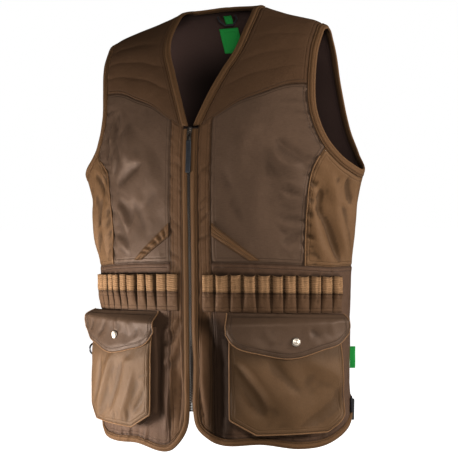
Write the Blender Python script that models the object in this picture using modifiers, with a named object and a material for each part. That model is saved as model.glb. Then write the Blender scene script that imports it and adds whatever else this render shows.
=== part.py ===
# A sleeveless shooting gilet with a zip front, held in the shape it has when worn.
# The origin is at the top of the shoulders, where the wearer carries it: +Z is up,
# the front faces -Y and +X is the wearer's left. Sizes are in metres.
import math

import bmesh
import bpy
import numpy as np
from mathutils import Matrix, Vector

# Walls and clearances
CLOTH = 0.0012
BINDING_WALL = 0.0020
BINDING_RISE = 0.0004
FLAP_WALL = 0.0018
SEAM_GAP = 0.0003
LAYER_GAP = 0.0005
SHOULDER_GAP = 0.0008
BACK_SEAM_GAP = 0.0008
FLAP_CLEARANCE = 0.0012
BINDING_GAP = 0.0005

# The worn form: one row for each ring of cloth, from the shoulder ridge to the hem.
# "down" is measured along the cloth, the halves are the widths to the wearer's left and
# right, and the powers set how square the ring is.
SECTION_COLUMNS = ("down", "height", "left", "right", "front", "back", "front_power", "back_power")
SECTIONS = (
    (0.000, 0.000, 0.206, 0.238, 0.000, 0.000, 2.30, 2.30),
    (0.030, -0.006, 0.211, 0.245, 0.029, 0.029, 2.20, 2.30),
    (0.060, -0.024, 0.216, 0.249, 0.053, 0.052, 2.10, 2.30),
    (0.100, -0.055, 0.220, 0.251, 0.082, 0.078, 2.05, 2.30),
    (0.150, -0.100, 0.224, 0.251, 0.106, 0.102, 2.00, 2.30),
    (0.200, -0.147, 0.229, 0.250, 0.126, 0.118, 1.95, 2.25),
    (0.260, -0.205, 0.238, 0.253, 0.141, 0.126, 1.90, 2.20),
    (0.330, -0.274, 0.241, 0.262, 0.149, 0.128, 1.85, 2.20),
    (0.400, -0.344, 0.230, 0.257, 0.151, 0.126, 1.80, 2.20),
    (0.450, -0.394, 0.224, 0.252, 0.151, 0.124, 1.80, 2.20),
    (0.500, -0.444, 0.220, 0.242, 0.150, 0.122, 1.80, 2.20),
    (0.550, -0.494, 0.218, 0.240, 0.150, 0.122, 1.80, 2.20),
    (0.600, -0.544, 0.217, 0.242, 0.150, 0.122, 1.80, 2.20),
    (0.700, -0.644, 0.216, 0.243, 0.151, 0.124, 1.80, 2.20),
    (0.830, -0.774, 0.216, 0.243, 0.152, 0.126, 1.80, 2.20),
)
SHOULDER_START = 0.072
SHOULDER_SLOPE = 0.27
SHOULDER_TIP = {1: 0.160, -1: 0.190}
SHOULDER_DROOP = {1: 9.0, -1: 6.0}
SHOULDER_FADE = 0.30
NECK_SET_BACK = 0.012
NECK_RISE = 0.013
NECK_SET_WIDTH = 0.130
NECK_SET_FADE = 0.10
LEVEL_STEP = 0.005
RING_STEPS = 180
SLOPE_STEP = 0.004
ABOVE = 0.001

# The largest folds: where each lies, its half length and half width, its turn from level
# in degrees, and how far it stands out (in, if negative).
FOLD_COLUMNS = ("side", "along", "down", "length", "width", "turn", "out")
FOLDS = (
    (1, 0.300, 0.325, 0.050, 0.030, 0.0, 0.007),
    (-1, 0.290, 0.325, 0.050, 0.030, 0.0, 0.006),
    (1, 0.205, 0.345, 0.045, 0.016, 62.0, -0.0035),
    (1, 0.178, 0.375, 0.050, 0.018, 50.0, 0.0030),
    (1, 0.255, 0.410, 0.090, 0.020, 78.0, -0.0035),
    (1, 0.292, 0.430, 0.080, 0.020, 84.0, 0.0030),
    (-1, 0.205, 0.350, 0.050, 0.016, 60.0, -0.0035),
    (-1, 0.235, 0.400, 0.080, 0.020, 75.0, 0.0030),
    (-1, 0.150, 0.420, 0.070, 0.022, 35.0, -0.0025),
    (1, 0.120, 0.300, 0.090, 0.026, 25.0, 0.0020),
    (-1, 0.130, 0.290, 0.080, 0.026, 28.0, 0.0025),
    (1, 0.420, 0.520, 0.150, 0.028, 88.0, -0.0040),
    (-1, 0.430, 0.500, 0.160, 0.028, 92.0, -0.0040),
)

# Seams and edges on the cloth. "across" runs round the body from the centre front, or
# from the centre back on the back pieces, "down" runs down the cloth, and "steps" is the
# number of facets to the next row. The wearer's right side hangs a little lower and lies
# a little further round, by "right_drop" and "right_shift".
LINE_COLUMNS = ("across", "down", "steps")
SHIFTED_COLUMNS = LINE_COLUMNS + ("right_shift",)
DROPPED_COLUMNS = LINE_COLUMNS + ("right_drop",)
NECK_LINE = (
    (0.0630, 0.000, 3),
    (0.0670, 0.060, 3),
    (0.0600, 0.125, 2),
    (0.0440, 0.162, 2),
    (0.0280, 0.200, 2),
    (0.0050, 0.260, 0),
)
NECK_LOW_CORNER = (0.0135, 0.2585)
BACK_NECK_LINE = (
    (0.0630, 0.000, 1),
    (0.0480, 0.004, 2),
    (0.0000, 0.007, 0),
)
ARMHOLE_FRONT_LINE = (
    (0.2000, 0.000, 4, 0.026),
    (0.1960, 0.060, 4, 0.030),
    (0.1960, 0.120, 4, 0.026),
    (0.1995, 0.180, 2, 0.014),
    (0.2070, 0.232, 2, 0.004),
    (0.2340, 0.291, 3, 0.000),
    (0.2680, 0.322, 2, 0.002),
    (0.3050, 0.334, 3, 0.006),
    (0.3610, 0.308, 2, 0.012),
    (0.3800, 0.280, 0, 0.014),
)
YOKE_END, PRINCESS_TOP, SIDE_SEAM_TOP = 12, 16, 24
ARMHOLE_BACK_LINE = (
    (0.2450, 0.308, 2, 0.000),
    (0.2180, 0.270, 3, 0.004),
    (0.1990, 0.190, 3, 0.014),
    (0.1950, 0.090, 4, 0.022),
    (0.2000, 0.000, 0, 0.026),
)
YOKE_SEAM = ((0.0370, 0.2455, 2), (0.078, 0.220, 2), (0.117, 0.204, 2), (0.156, 0.1865, 2))
PLACKET_STEPS = 3
PRINCESS_SEAM = (
    (0.2070, 0.328, 1, -0.014),
    (0.1980, 0.358, 1, -0.015),
    (0.1935, 0.392, 1, -0.014),
    (0.1920, 0.432, 2, -0.012),
    (0.1900, 0.489, 0, -0.010),
)
CHEST_STEPS = 8
SIDE_STEPS = 8
PRINCESS_STEPS = 6
LOWER_STEPS = 8
FRONT_EDGE = (
    (0.0035, 0.2645, 10, 0.000),
    (0.0035, 0.480, 5, 0.000),
    (0.0035, 0.690, 1, 0.000),
    (0.0035, 0.715, 2, 0.000),
    (0.0105, 0.751, 3, 0.008),
    (0.0350, 0.771, 4, 0.017),
    (0.1210, 0.776, 4, 0.011),
    (0.1790, 0.785, 2, 0.007),
    (0.2230, 0.783, 2, 0.008),
    (0.2540, 0.774, 2, 0.010),
    (0.3000, 0.754, 2, 0.006),
)
PLACKET_LOW, PLACKET_LOW_END = 18, 21
FRONT_EDGE_END = 0.735
BACK_EDGE = ((0.190, 0.745, 3), (0.110, 0.758, 3), (0.000, 0.765, 0))
BACK_EDGE_STEPS = 2
BACK_NECK_STEPS = 3
BACK_SHOULDER_STEPS = 5
SIDE_SEAM_SHARE = 0.60
SIDE_SEAM_MIDDLE = 0.380
PLACKET_SEAM = 0.0370
NECK_BINDING = 0.012
ARMHOLE_BINDING = 0.012
EDGE_BINDING = 0.010
WAIST_DOWN = 0.482
WAIST_SIDE_DROP = 0.012
WAIST_DROP_SPAN = 0.240
QUILT_ROWS = 3
QUILT_PUFF = 0.0022

# Slanted welts over the lower fronts of the chest
WELT_TOP = ((0.0390, 0.418), (0.1160, 0.4795))
WELT_LOW = ((0.0390, 0.4405), (0.0980, 0.4795))
WELT_STEPS = 6

# Cartridge loops, eleven a side: an elastic band over a gathered cloth base
LOOP_COUNT = 11
LOOP_START = 0.021
LOOP_PITCH = 0.0221
LOOP_LAND = 0.0030
LOOP_DEPTH = 0.0082
LOOP_SIDE_DROP = 0.008
LOOP_PROFILE = ((0.00, 0.00), (0.07, 0.72), (0.30, 1.00), (0.70, 1.00), (0.93, 0.72), (1.00, 0.00))
ELASTIC_TOP, ELASTIC_END = 0.501, 0.530
BASE_ROWS = ((0.5306, 1.00), (0.546, 0.62), (0.5615, 0.16))

# Bellows pockets and their flaps
BAG_IN, BAG_OUT = 0.067, 0.246
BAG_TOP, BAG_SHOULDER, BAG_LOW = 0.590, 0.733, 0.757
BAG_CHAMFER_IN, BAG_CHAMFER_OUT = 0.040, 0.030
BAG_MOUTH_DEPTH, BAG_DEPTH = 0.013, 0.020
BAG_DEPTH_FADE = 0.060
FLAP_IN, FLAP_OUT = 0.062, 0.262
FLAP_TOP = 0.5635
FLAP_SHOULDER = 0.584
FLAP_LOW = (
    (0.0620, 0.598, 1),
    (0.0720, 0.613, 3),
    (0.1150, 0.629, 3),
    (0.1600, 0.6365, 3),
    (0.2070, 0.626, 2),
    (0.2490, 0.614, 1),
    (0.2620, 0.602, 0),
)
FLAP_ROWS = 5
SNAP_GAP = 0.0006
FLAP_FLARE = 0.011
FLARE_FROM = 0.190
SNAP_AT = {1: (0.167, 0.610), -1: (0.148, 0.606)}
SNAP_RADIUS = 0.0075
SNAP_TOP_RADIUS = 0.0054
SNAP_HEIGHT = 0.0026

# Zip
ZIP_TOP, ZIP_END = 0.2620, 0.7250
CHAIN_HALF = 0.0028
CHAIN_WALL = 0.0019
TAPE_IN, TAPE_OUT = 0.0006, 0.0150
TAPE_WALL = 0.0008
TAPE_OUTWARD, CHAIN_OUTWARD, SLIDER_OUTWARD = -0.0020, 0.0002, 0.0010
ZIP_STEPS = 14
SLIDER_DOWN = 0.2680
SLIDER_SIZE = (0.0090, 0.0130, 0.0014)
SLIDER_EDGE = 0.0004
BRIDGE_WIDTH = 0.0026
BRIDGE_HEIGHT = 0.0042
BRIDGE_LENGTH = 0.0090
BRIDGE_WALL = 0.0016
BRIDGE_WINDOW = 0.0026
BRIDGE_LAP = 0.0002
AXLE_RADIUS = 0.0008
AXLE_CLEARANCE = 0.0003
AXLE_INSET = 0.0014
PULL_WIDTH = 0.0076
PULL_LENGTH = 0.0200
PULL_WALL = 0.0014
PULL_WINDOW = (0.0038, 0.0078)
PULL_LAP = 0.0004
PULL_END_OUT = 0.0030
SLEEVE_SIZE = (0.0090, 0.0480, 0.0034)
SLEEVE_EDGE = 0.0011
PULL_END_DOWN = 0.338

# Side adjusters, ring, hanger and labels
STRAP_FROM, STRAP_TO = 0.296, 0.420
STRAP_DOWN, STRAP_WIDTH, STRAP_WALL = 0.728, 0.024, 0.0014
STRAP_RISE = 0.0012
STRAP_STEPS = 9
SLIDE_SIZE = (0.028, 0.036, 0.0040)
SLIDE_EDGE = 0.0012
SLIDE_AT = (0.346, 0.741)
RING_AT = (-0.2590, 0.641)
RING_RADIUS, RING_WIRE = 0.0105, 0.0015
RING_OUT = 0.0135
RING_TAB = (0.0022, 0.014, 0.0009)
SIDE_TAG = (0.0012, 0.037, 0.0095)
SIDE_TAG_DOWN = 0.652
LABEL_SIZE = (0.031, 0.044)
LABEL_DOWN = 0.080
LABEL_CENTRE = -0.006
LABEL_WALL = 0.0010
LABEL_GAP = 0.0010
HANGER_HALF, HANGER_TOP, HANGER_LOW = 0.017, 0.0265, 0.050
HANGER_WIRE = 0.0016
HANGER_STEPS, HANGER_TURN, HANGER_FLAT = 14, 0.625, 0.3
TRIM_GAP = 0.0018
HANGER_TAG = (0.012, 0.018)
HANGER_TAG_DOWN = 0.040

# Colours as the photograph's soft light shows them, in linear light
CHEST_BROWN = (0.105, 0.066, 0.046)
YOKE_BROWN = (0.078, 0.043, 0.022)
KHAKI = (0.155, 0.088, 0.036)
LOWER_BROWN = (0.054, 0.031, 0.019)
BINDING_KHAKI = (0.165, 0.090, 0.042)
ELASTIC_TAN = (0.270, 0.160, 0.070)
LABEL_GREEN = (0.026, 0.210, 0.055)
BLACK = (0.012, 0.011, 0.012)
NICKEL = (0.520, 0.500, 0.460)
BRASS_DARK = (0.190, 0.150, 0.110)
SLATE = (0.025, 0.026, 0.032)


def column(rows, names, name):
    return np.array([row[names.index(name)] for row in rows], float)


def eased(places, values, at):
    # Cubic pieces that never overshoot the rows they join
    steps = np.diff(places)
    slopes = np.diff(values) / steps
    ends = np.zeros_like(values)
    both = slopes[:-1] * slopes[1:]
    total = slopes[:-1] + slopes[1:]
    ends[1:-1] = np.where(both > 0, 2 * both / np.where(total == 0, 1, total), 0)
    ends[0], ends[-1] = slopes[0], slopes[-1]
    i = np.clip(np.searchsorted(places, at) - 1, 0, len(places) - 2)
    t = (at - places[i]) / steps[i]
    low = (1 + 2 * t) * (1 - t) ** 2 * values[i] + t * (1 - t) ** 2 * steps[i] * ends[i]
    high = t * t * (3 - 2 * t) * values[i + 1] + t * t * (t - 1) * steps[i] * ends[i + 1]
    return low + high


def smooth(t):
    t = np.clip(t, 0.0, 1.0)
    return t * t * (3 - 2 * t)


LEVELS = np.arange(0.0, SECTIONS[-1][0] + LEVEL_STEP / 2, LEVEL_STEP)
SIZES = {
    name: eased(column(SECTIONS, SECTION_COLUMNS, "down"),
                column(SECTIONS, SECTION_COLUMNS, name), LEVELS)
    for name in SECTION_COLUMNS[1:]
}


def ring(level, side):
    # Half a ring of cloth, from the centre front round one side to the centre back
    angle = np.linspace(0, math.pi, RING_STEPS + 1)
    front = np.cos(angle) >= 0
    power = np.where(front, SIZES["front_power"][level], SIZES["back_power"][level])
    half = SIZES["left" if side > 0 else "right"][level]
    x = half * np.abs(np.sin(angle)) ** (2 / power)
    depth = np.where(front, -SIZES["front"][level], SIZES["back"][level])
    y = depth * np.abs(np.cos(angle)) ** (2 / power)
    down = LEVELS[level]
    slope = SHOULDER_SLOPE * np.maximum(x - SHOULDER_START, 0)
    droop = SHOULDER_DROOP[side] * np.maximum(x - SHOULDER_TIP[side], 0) ** 2
    z = SIZES["height"][level] - (slope + droop) * smooth(1 - down / SHOULDER_FADE)
    near_neck = np.clip(1 - (x / NECK_SET_WIDTH) ** 2, 0, 1) ** 2
    near_neck = near_neck * smooth(1 - down / NECK_SET_FADE)
    y = y + NECK_SET_BACK * near_neck
    z = z + NECK_RISE * near_neck
    return np.stack([side * x, y, z], axis=-1)


def rings(side):
    points = np.array([ring(level, side) for level in range(len(LEVELS))])
    steps = np.linalg.norm(np.diff(points, axis=1), axis=2)
    lengths = np.concatenate([np.zeros((len(LEVELS), 1)), np.cumsum(steps, axis=1)], axis=1)
    return points, lengths


FORM = {side: rings(side) for side in (1, -1)}


def half_girth(side, down):
    return float(np.interp(down, LEVELS, FORM[side][1][:, -1]))


def ring_point(side, along, down):
    points, lengths = FORM[side]
    place = min(max(down, 0.0) / LEVEL_STEP, len(LEVELS) - 1.001)
    level = int(place)
    share = place - level
    ends = []
    for k in (level, level + 1):
        ends.append([np.interp(along, lengths[k], points[k][:, axis]) for axis in range(3)])
    return (1 - share) * np.array(ends[0]) + share * np.array(ends[1])


def bare_point(side, along, down):
    # Above the shoulder ridge the cloth turns over to the back
    if down >= 0:
        return ring_point(side, along, down)
    return ring_point(side, half_girth(side, -down) - along, -down)


def relief(side, along, down):
    total = 0.0
    for row in FOLDS:
        fold = dict(zip(FOLD_COLUMNS, row))
        if fold["side"] != side:
            continue
        turn = math.radians(fold["turn"])
        du, dv = along - fold["along"], down - fold["down"]
        run = (du * math.cos(turn) + dv * math.sin(turn)) / fold["length"]
        rise = (dv * math.cos(turn) - du * math.sin(turn)) / fold["width"]
        total += fold["out"] * math.exp(-run * run - rise * rise)
    return total


def outward(side, along, down):
    low, high = max(along - SLOPE_STEP, 0.0), along + SLOPE_STEP
    across = bare_point(side, high, down) - bare_point(side, low, down)
    fall = bare_point(side, along, down + SLOPE_STEP) - bare_point(side, along, down - SLOPE_STEP)
    normal = np.cross(fall, across) * side
    return normal / np.linalg.norm(normal)


def on_front(across, down, out=0.0):
    # Place on the cloth by its distance round the body from the centre front
    side = 1 if across >= 0 else -1
    along = abs(across)
    out += relief(side, along, down) if down >= 0 else 0.0
    return bare_point(side, along, down) + out * outward(side, along, down)


def on_back(across, down, out=0.0):
    # Place on the cloth by its distance round the body from the centre back
    side = 1 if across >= 0 else -1
    if down < 0:
        return on_front(across, -down, out)
    along = half_girth(side, down) - abs(across)
    before = ring_point(side, along - SLOPE_STEP, down)
    behind = ring_point(side, min(along + SLOPE_STEP, half_girth(side, down)), down)
    low = back_row(side, abs(across), down + SLOPE_STEP)
    high = back_row(side, abs(across), down - SLOPE_STEP)
    normal = np.cross(low - high, behind - before) * side
    normal = normal / np.linalg.norm(normal)
    return ring_point(side, along, down) + (out + relief(side, along, down)) * normal


def back_row(side, across, down):
    if down < 0:
        return ring_point(side, across, -down)
    return ring_point(side, half_girth(side, down) - across, down)


def sided(rows, names, side):
    # A line's rows as (across, down, steps), moved as the wearer's right side is
    moved = []
    for row in rows:
        place = dict(zip(names, row))
        shift = place.get("right_shift", 0.0) if side < 0 else 0.0
        drop = place.get("right_drop", 0.0) if side < 0 else 0.0
        moved.append((place["across"] + shift, place["down"] + drop, place["steps"]))
    return tuple(moved)


def curve_through(rows):
    # A smooth line through the rows, each stretch cut into its own number of steps
    places = np.array([row[:2] for row in rows], float)
    chords = np.linalg.norm(np.diff(places, axis=0), axis=1)
    knots = np.concatenate([[0], np.cumsum(chords)])
    tangents = np.gradient(places, knots, axis=0)
    line = [places[0]]
    for k, chord in enumerate(chords):
        for step in range(1, int(rows[k][2]) + 1):
            t = step / rows[k][2]
            line.append(
                (1 + 2 * t) * (1 - t) ** 2 * places[k]
                + t * (1 - t) ** 2 * chord * tangents[k]
                + t * t * (3 - 2 * t) * places[k + 1]
                + t * t * (t - 1) * chord * tangents[k + 1]
            )
    return np.array(line)


def straight(start, end, steps):
    t = np.linspace(0, 1, steps + 1)[:, None]
    return (1 - t) * np.array(start, float) + t * np.array(end, float)


def joined(*lines):
    return np.concatenate([lines[0]] + [line[1:] for line in lines[1:]])


def inset(line, width):
    # The line moved to its left-hand side, seen with "down" pointing down
    tangents = np.gradient(line, axis=0)
    tangents /= np.linalg.norm(tangents, axis=1)[:, None]
    return line + width * np.stack([tangents[:, 1], -tangents[:, 0]], axis=-1)


def coons(top, bottom, left, right):
    rows, columns = len(left), len(top)
    u = np.linspace(0, 1, columns)[None, :, None]
    v = np.linspace(0, 1, rows)[:, None, None]
    across = (1 - v) * top[None] + v * bottom[None]
    along = (1 - u) * left[:, None] + u * right[:, None]
    corners = (
        (1 - u) * (1 - v) * top[0] + u * (1 - v) * top[-1]
        + (1 - u) * v * bottom[0] + u * v * bottom[-1]
    )
    return across + along - corners


def seamed(grid, gap=SEAM_GAP):
    # Draws the border in by half a seam gap on each side
    grid = grid.copy()
    for edge, inner in (((0,), (1,)), ((-1,), (-2,))):
        step = grid[inner[0]] - grid[edge[0]]
        grid[edge[0]] += step / np.linalg.norm(step, axis=-1)[:, None] * gap / 2
    for edge, inner in ((0, 1), (-1, -2)):
        step = grid[:, inner] - grid[:, edge]
        grid[:, edge] += step / np.linalg.norm(step, axis=-1)[:, None] * gap / 2
    return grid


def mapped(grid, place, out=0.0):
    return np.array([[place(a, d, out) for a, d in row] for row in grid])


def material(name, colour, roughness, metallic=0.0):
    made = bpy.data.materials.new(name)
    made.use_nodes = True
    shader = made.node_tree.nodes["Principled BSDF"]
    shader.inputs["Base Color"].default_value = (*colour, 1.0)
    shader.inputs["Roughness"].default_value = roughness
    shader.inputs["Metallic"].default_value = metallic
    made.diffuse_color = (*colour, 1.0)
    return made


def new_object(name, mesh, colour, roughness=0.75, metallic=0.0):
    mesh.materials.append(material(name, colour, roughness, metallic))
    made = bpy.data.objects.new(name, mesh)
    GILET.objects.link(made)
    return made


def grid_faces(rows, columns, flip, closed=False):
    faces = []
    last = columns if closed else columns - 1
    for j in range(rows - 1):
        for i in range(last):
            right = (i + 1) % columns
            face = (j * columns + i, j * columns + right, (j + 1) * columns + right,
                    (j + 1) * columns + i)
            faces.append(face[::-1] if flip else face)
    return faces


def faces_in(points, outer_points):
    # True where the grid's own faces would look away from the outer points
    a, b, c = points[0, 0], points[0, 1], points[1, 0]
    return float(np.dot(np.cross(b - a, c - a), outer_points[0, 0] - a)) < 0


def cloth(name, points, outer_points, wall, colour, closed=False, roughness=0.75):
    # An open surface on the outer face of the cloth, thickened inwards
    rows, columns = points.shape[:2]
    mesh = bpy.data.meshes.new(name)
    flip = faces_in(points, outer_points)
    faces = grid_faces(rows, columns, flip, closed)
    mesh.from_pydata([tuple(p) for p in points.reshape(-1, 3)], [], faces)
    mesh.shade_smooth()
    made = new_object(name, mesh, colour, roughness)
    wall_modifier = made.modifiers.new("Wall", "SOLIDIFY")
    wall_modifier.thickness = wall
    wall_modifier.offset = -1.0
    wall_modifier.use_even_offset = True
    return made


def panel(name, grid, place, colour, wall=CLOTH, out=0.0, gap=SEAM_GAP, closed=False):
    drawn = seamed(grid, gap) if gap else grid
    points = mapped(drawn, place, out)
    outer_points = mapped(drawn[:1, :1], place, out + ABOVE)
    return cloth(name, points, outer_points, wall, colour, closed)


def raised_panel(name, grid, place, colour, rise):
    # Quilted cloth: plain inside, with the outer points raised between the stitch rows
    drawn = seamed(grid)
    inner = mapped(drawn, place, -CLOTH)
    rows, columns = drawn.shape[:2]
    outer = np.array([
        [place(*drawn[j, i], rise(j, i, rows, columns)) for i in range(columns)]
        for j in range(rows)
    ])
    flip = faces_in(outer, mapped(drawn[:1, :1], place, ABOVE))
    count = rows * columns
    faces = grid_faces(rows, columns, flip)
    faces += [tuple(count + k for k in face[::-1]) for face in grid_faces(rows, columns, flip)]
    border = list(range(columns))
    border += [j * columns + columns - 1 for j in range(1, rows)]
    border += [(rows - 1) * columns + i for i in range(columns - 2, -1, -1)]
    border += [j * columns for j in range(rows - 2, 0, -1)]
    for a, b in zip(border, border[1:] + border[:1]):
        face = (b, a, count + a, count + b)
        faces.append(face[::-1] if flip else face)
    mesh = bpy.data.meshes.new(name)
    vertices = list(outer.reshape(-1, 3)) + list(inner.reshape(-1, 3))
    mesh.from_pydata([tuple(p) for p in vertices], [], faces)
    mesh.shade_smooth()
    return new_object(name, mesh, colour)


def frame_at(place, across, down, out):
    # Axes on the cloth: X round the body, Y up it and Z out of it
    centre = place(across, down, out)
    side = place(across + SLOPE_STEP, down, out) - place(across - SLOPE_STEP, down, out)
    side /= np.linalg.norm(side)
    up = place(across, down - SLOPE_STEP, out) - place(across, down + SLOPE_STEP, out)
    normal = np.cross(side, up)
    normal /= np.linalg.norm(normal)
    up = np.cross(normal, side)
    axes = Matrix([list(row) for row in np.stack([side, up, normal], axis=1)])
    return Matrix.Translation(Vector(centre)) @ axes.to_4x4()


def box_mesh(name, size, centre=(0, 0, 0)):
    mesh = bpy.data.meshes.new(name)
    shape = bmesh.new()
    place = Matrix.Translation(Vector(centre)) @ Matrix.Diagonal((*size, 1.0))
    bmesh.ops.create_cube(shape, size=1.0, matrix=place)
    shape.to_mesh(mesh)
    shape.free()
    return mesh


def softened(made, width, segments=1):
    bevel = made.modifiers.new("Edges", "BEVEL")
    bevel.width = width
    bevel.segments = segments
    bevel.limit_method = "ANGLE"
    return made


def joined_by(made, mesh, operation):
    # Adds to or cuts from an object with a tool that is kept out of the model
    tool = bpy.data.objects.new(f"{made.name}_{mesh.name}", mesh)
    CUTTERS.objects.link(tool)
    tool.matrix_world = made.matrix_world
    tool.hide_render = True
    tool.display_type = "WIRE"
    change = made.modifiers.new(mesh.name, "BOOLEAN")
    change.operation = operation
    change.object = tool
    return made


def cone_mesh(name, low_radius, top_radius, length, turn, sides=12):
    mesh = bpy.data.meshes.new(name)
    shape = bmesh.new()
    bmesh.ops.create_cone(shape, cap_ends=True, segments=sides, radius1=low_radius,
                          radius2=top_radius, depth=length, matrix=turn)
    shape.to_mesh(mesh)
    shape.free()
    return mesh


def side_name(side):
    return "left" if side > 0 else "right"


def signed(line, side):
    return line * np.array([side, 1.0])


def waist(across):
    return WAIST_DOWN + WAIST_SIDE_DROP * min(abs(across) / WAIST_DROP_SPAN, 1.0) ** 2


def waist_line(start, end, steps):
    return np.array([(a, waist(a)) for a in np.linspace(start, end, steps + 1)])


def seam_lines(side):
    # Every seam and edge of one side, as lines of (across, down)
    lines = {}
    neck = curve_through(NECK_LINE)
    lines["neck"] = neck
    lines["neck_in"] = inset(neck, NECK_BINDING)
    lines["neck_in"][0] = (NECK_LINE[0][0] + NECK_BINDING, 0.0)
    lines["neck_in"][-1] = NECK_LOW_CORNER
    front_rows = sided(ARMHOLE_FRONT_LINE, SHIFTED_COLUMNS, side)
    back_rows = sided(ARMHOLE_BACK_LINE, SHIFTED_COLUMNS, side)
    armhole = curve_through(front_rows)[: SIDE_SEAM_TOP + 1]
    lines["armhole"] = armhole
    lines["armhole_in"] = inset(armhole, -ARMHOLE_BINDING)
    lines["armhole_in"][0] = (front_rows[0][0] - ARMHOLE_BINDING, 0.0)
    end_down = armhole[-1][1]
    back_start = (half_girth(side, end_down) - armhole[-1][0], end_down)
    back = curve_through((back_start + (back_rows[0][2],),) + back_rows[1:])
    lines["armhole_back"] = back
    lines["armhole_back_in"] = inset(back, ARMHOLE_BINDING)
    corner = lines["armhole_in"][-1]
    lines["armhole_back_in"][0] = (half_girth(side, corner[1]) - corner[0], corner[1])
    lines["armhole_back_in"][-1] = (back_rows[-1][0] - ARMHOLE_BINDING, 0.0)
    yoke_end = lines["armhole_in"][YOKE_END]
    yoke_rows = ((*NECK_LOW_CORNER, PLACKET_STEPS),) + YOKE_SEAM + ((*yoke_end, 0),)
    lines["yoke"] = curve_through(yoke_rows)
    top = lines["armhole_in"][PRINCESS_TOP]
    princess_rows = sided(PRINCESS_SEAM, SHIFTED_COLUMNS, side)
    foot = (princess_rows[-1][0], waist(princess_rows[-1][0]), 0)
    lines["princess"] = curve_through(((*top, 1),) + princess_rows[:-1] + (foot,))
    edge_rows = sided(FRONT_EDGE, DROPPED_COLUMNS, side)
    seam_low = SIDE_SEAM_SHARE * half_girth(side, FRONT_EDGE_END)
    edge = curve_through(edge_rows + ((seam_low, FRONT_EDGE_END, 0),))
    lines["edge"] = edge
    lines["edge_in"] = inset(edge, EDGE_BINDING)
    lines["edge_in"][0] = (EDGE_BINDING + FRONT_EDGE[0][0], FRONT_EDGE[0][1])
    vent_top = FRONT_EDGE_END - EDGE_BINDING
    lines["edge_in"][-1] = (SIDE_SEAM_SHARE * half_girth(side, vent_top), vent_top)
    side_waist = SIDE_SEAM_SHARE * half_girth(side, waist(WAIST_DROP_SPAN))
    chest_waist = waist_line(PLACKET_SEAM, foot[0], CHEST_STEPS)
    lines["waist"] = joined(chest_waist, waist_line(foot[0], side_waist, SIDE_STEPS))
    middle = (SIDE_SEAM_SHARE * half_girth(side, SIDE_SEAM_MIDDLE), SIDE_SEAM_MIDDLE, 4)
    upper = ((*lines["armhole_in"][-1], 2), middle, (*lines["waist"][-1], 0))
    lower = straight(lines["waist"][-1], lines["edge_in"][-1], LOWER_STEPS)
    lower[:, 0] = [SIDE_SEAM_SHARE * half_girth(side, d) for d in lower[:, 1]]
    lower[-1] = lines["edge_in"][-1]
    lower[0] = lines["waist"][-1]
    lines["side_seam"] = joined(curve_through(upper), lower)
    placket_top = lines["yoke"][PLACKET_STEPS]
    placket_low = lines["edge_in"][PLACKET_LOW_END]
    upper = straight(placket_top, lines["waist"][0], CHEST_STEPS + 2)
    lower = straight(lines["waist"][0], placket_low, LOWER_STEPS)
    lines["placket"] = joined(upper, lower)
    return lines


def quilt_rise(j, i, rows, columns):
    across = math.sin(math.pi * i / (columns - 1)) ** 0.4 if 0 < i < columns - 1 else 0.0
    return QUILT_PUFF * abs(math.sin(math.pi * j / QUILT_ROWS)) * across


def front_panels(side, lines):
    label = side_name(side)

    def place(across, down, out=0.0):
        return on_front(side * max(across, 0.0), down, out)

    ridge = straight(lines["neck_in"][0], lines["armhole_in"][0], len(lines["yoke"]) - 1)
    ridge[:, 1] = SHOULDER_GAP / 2
    yoke = coons(ridge, lines["yoke"], lines["neck_in"], lines["armhole_in"][: YOKE_END + 1])
    yoke[0, :, 1] = SHOULDER_GAP / 2
    raised_panel(f"front_yoke_{label}", yoke, place, YOKE_BROWN, quilt_rise)
    outer_side = joined(lines["armhole_in"][YOKE_END: PRINCESS_TOP + 1], lines["princess"])
    waist_chest = lines["waist"][: CHEST_STEPS + 1]
    chest_top = lines["yoke"][PLACKET_STEPS:]
    placket_upper = lines["placket"][: CHEST_STEPS + 3]
    chest = coons(chest_top, waist_chest, placket_upper, outer_side)
    panel(f"front_chest_{label}", chest, place, CHEST_BROWN)
    waist_side = lines["waist"][CHEST_STEPS:]
    seam_upper = lines["side_seam"][: PRINCESS_STEPS + 1]
    under = coons(lines["armhole_in"][PRINCESS_TOP:], waist_side, lines["princess"], seam_upper)
    panel(f"side_panel_{label}", under, place, KHAKI)
    placket_low = lines["edge_in"][PLACKET_LOW: PLACKET_LOW_END + 1]
    zip_side = lines["edge_in"][: PLACKET_LOW + 1].copy()
    zip_side[0] = NECK_LOW_CORNER
    strip = coons(lines["yoke"][: PLACKET_STEPS + 1], placket_low, zip_side, lines["placket"])
    panel(f"placket_{label}", strip, place, BINDING_KHAKI)
    seam_lower = lines["side_seam"][PRINCESS_STEPS:]
    lower = coons(lines["waist"], lines["edge_in"][PLACKET_LOW_END:],
                  lines["placket"][CHEST_STEPS + 2:], seam_lower)
    panel(f"lower_front_{label}", lower, place, LOWER_BROWN)


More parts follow.
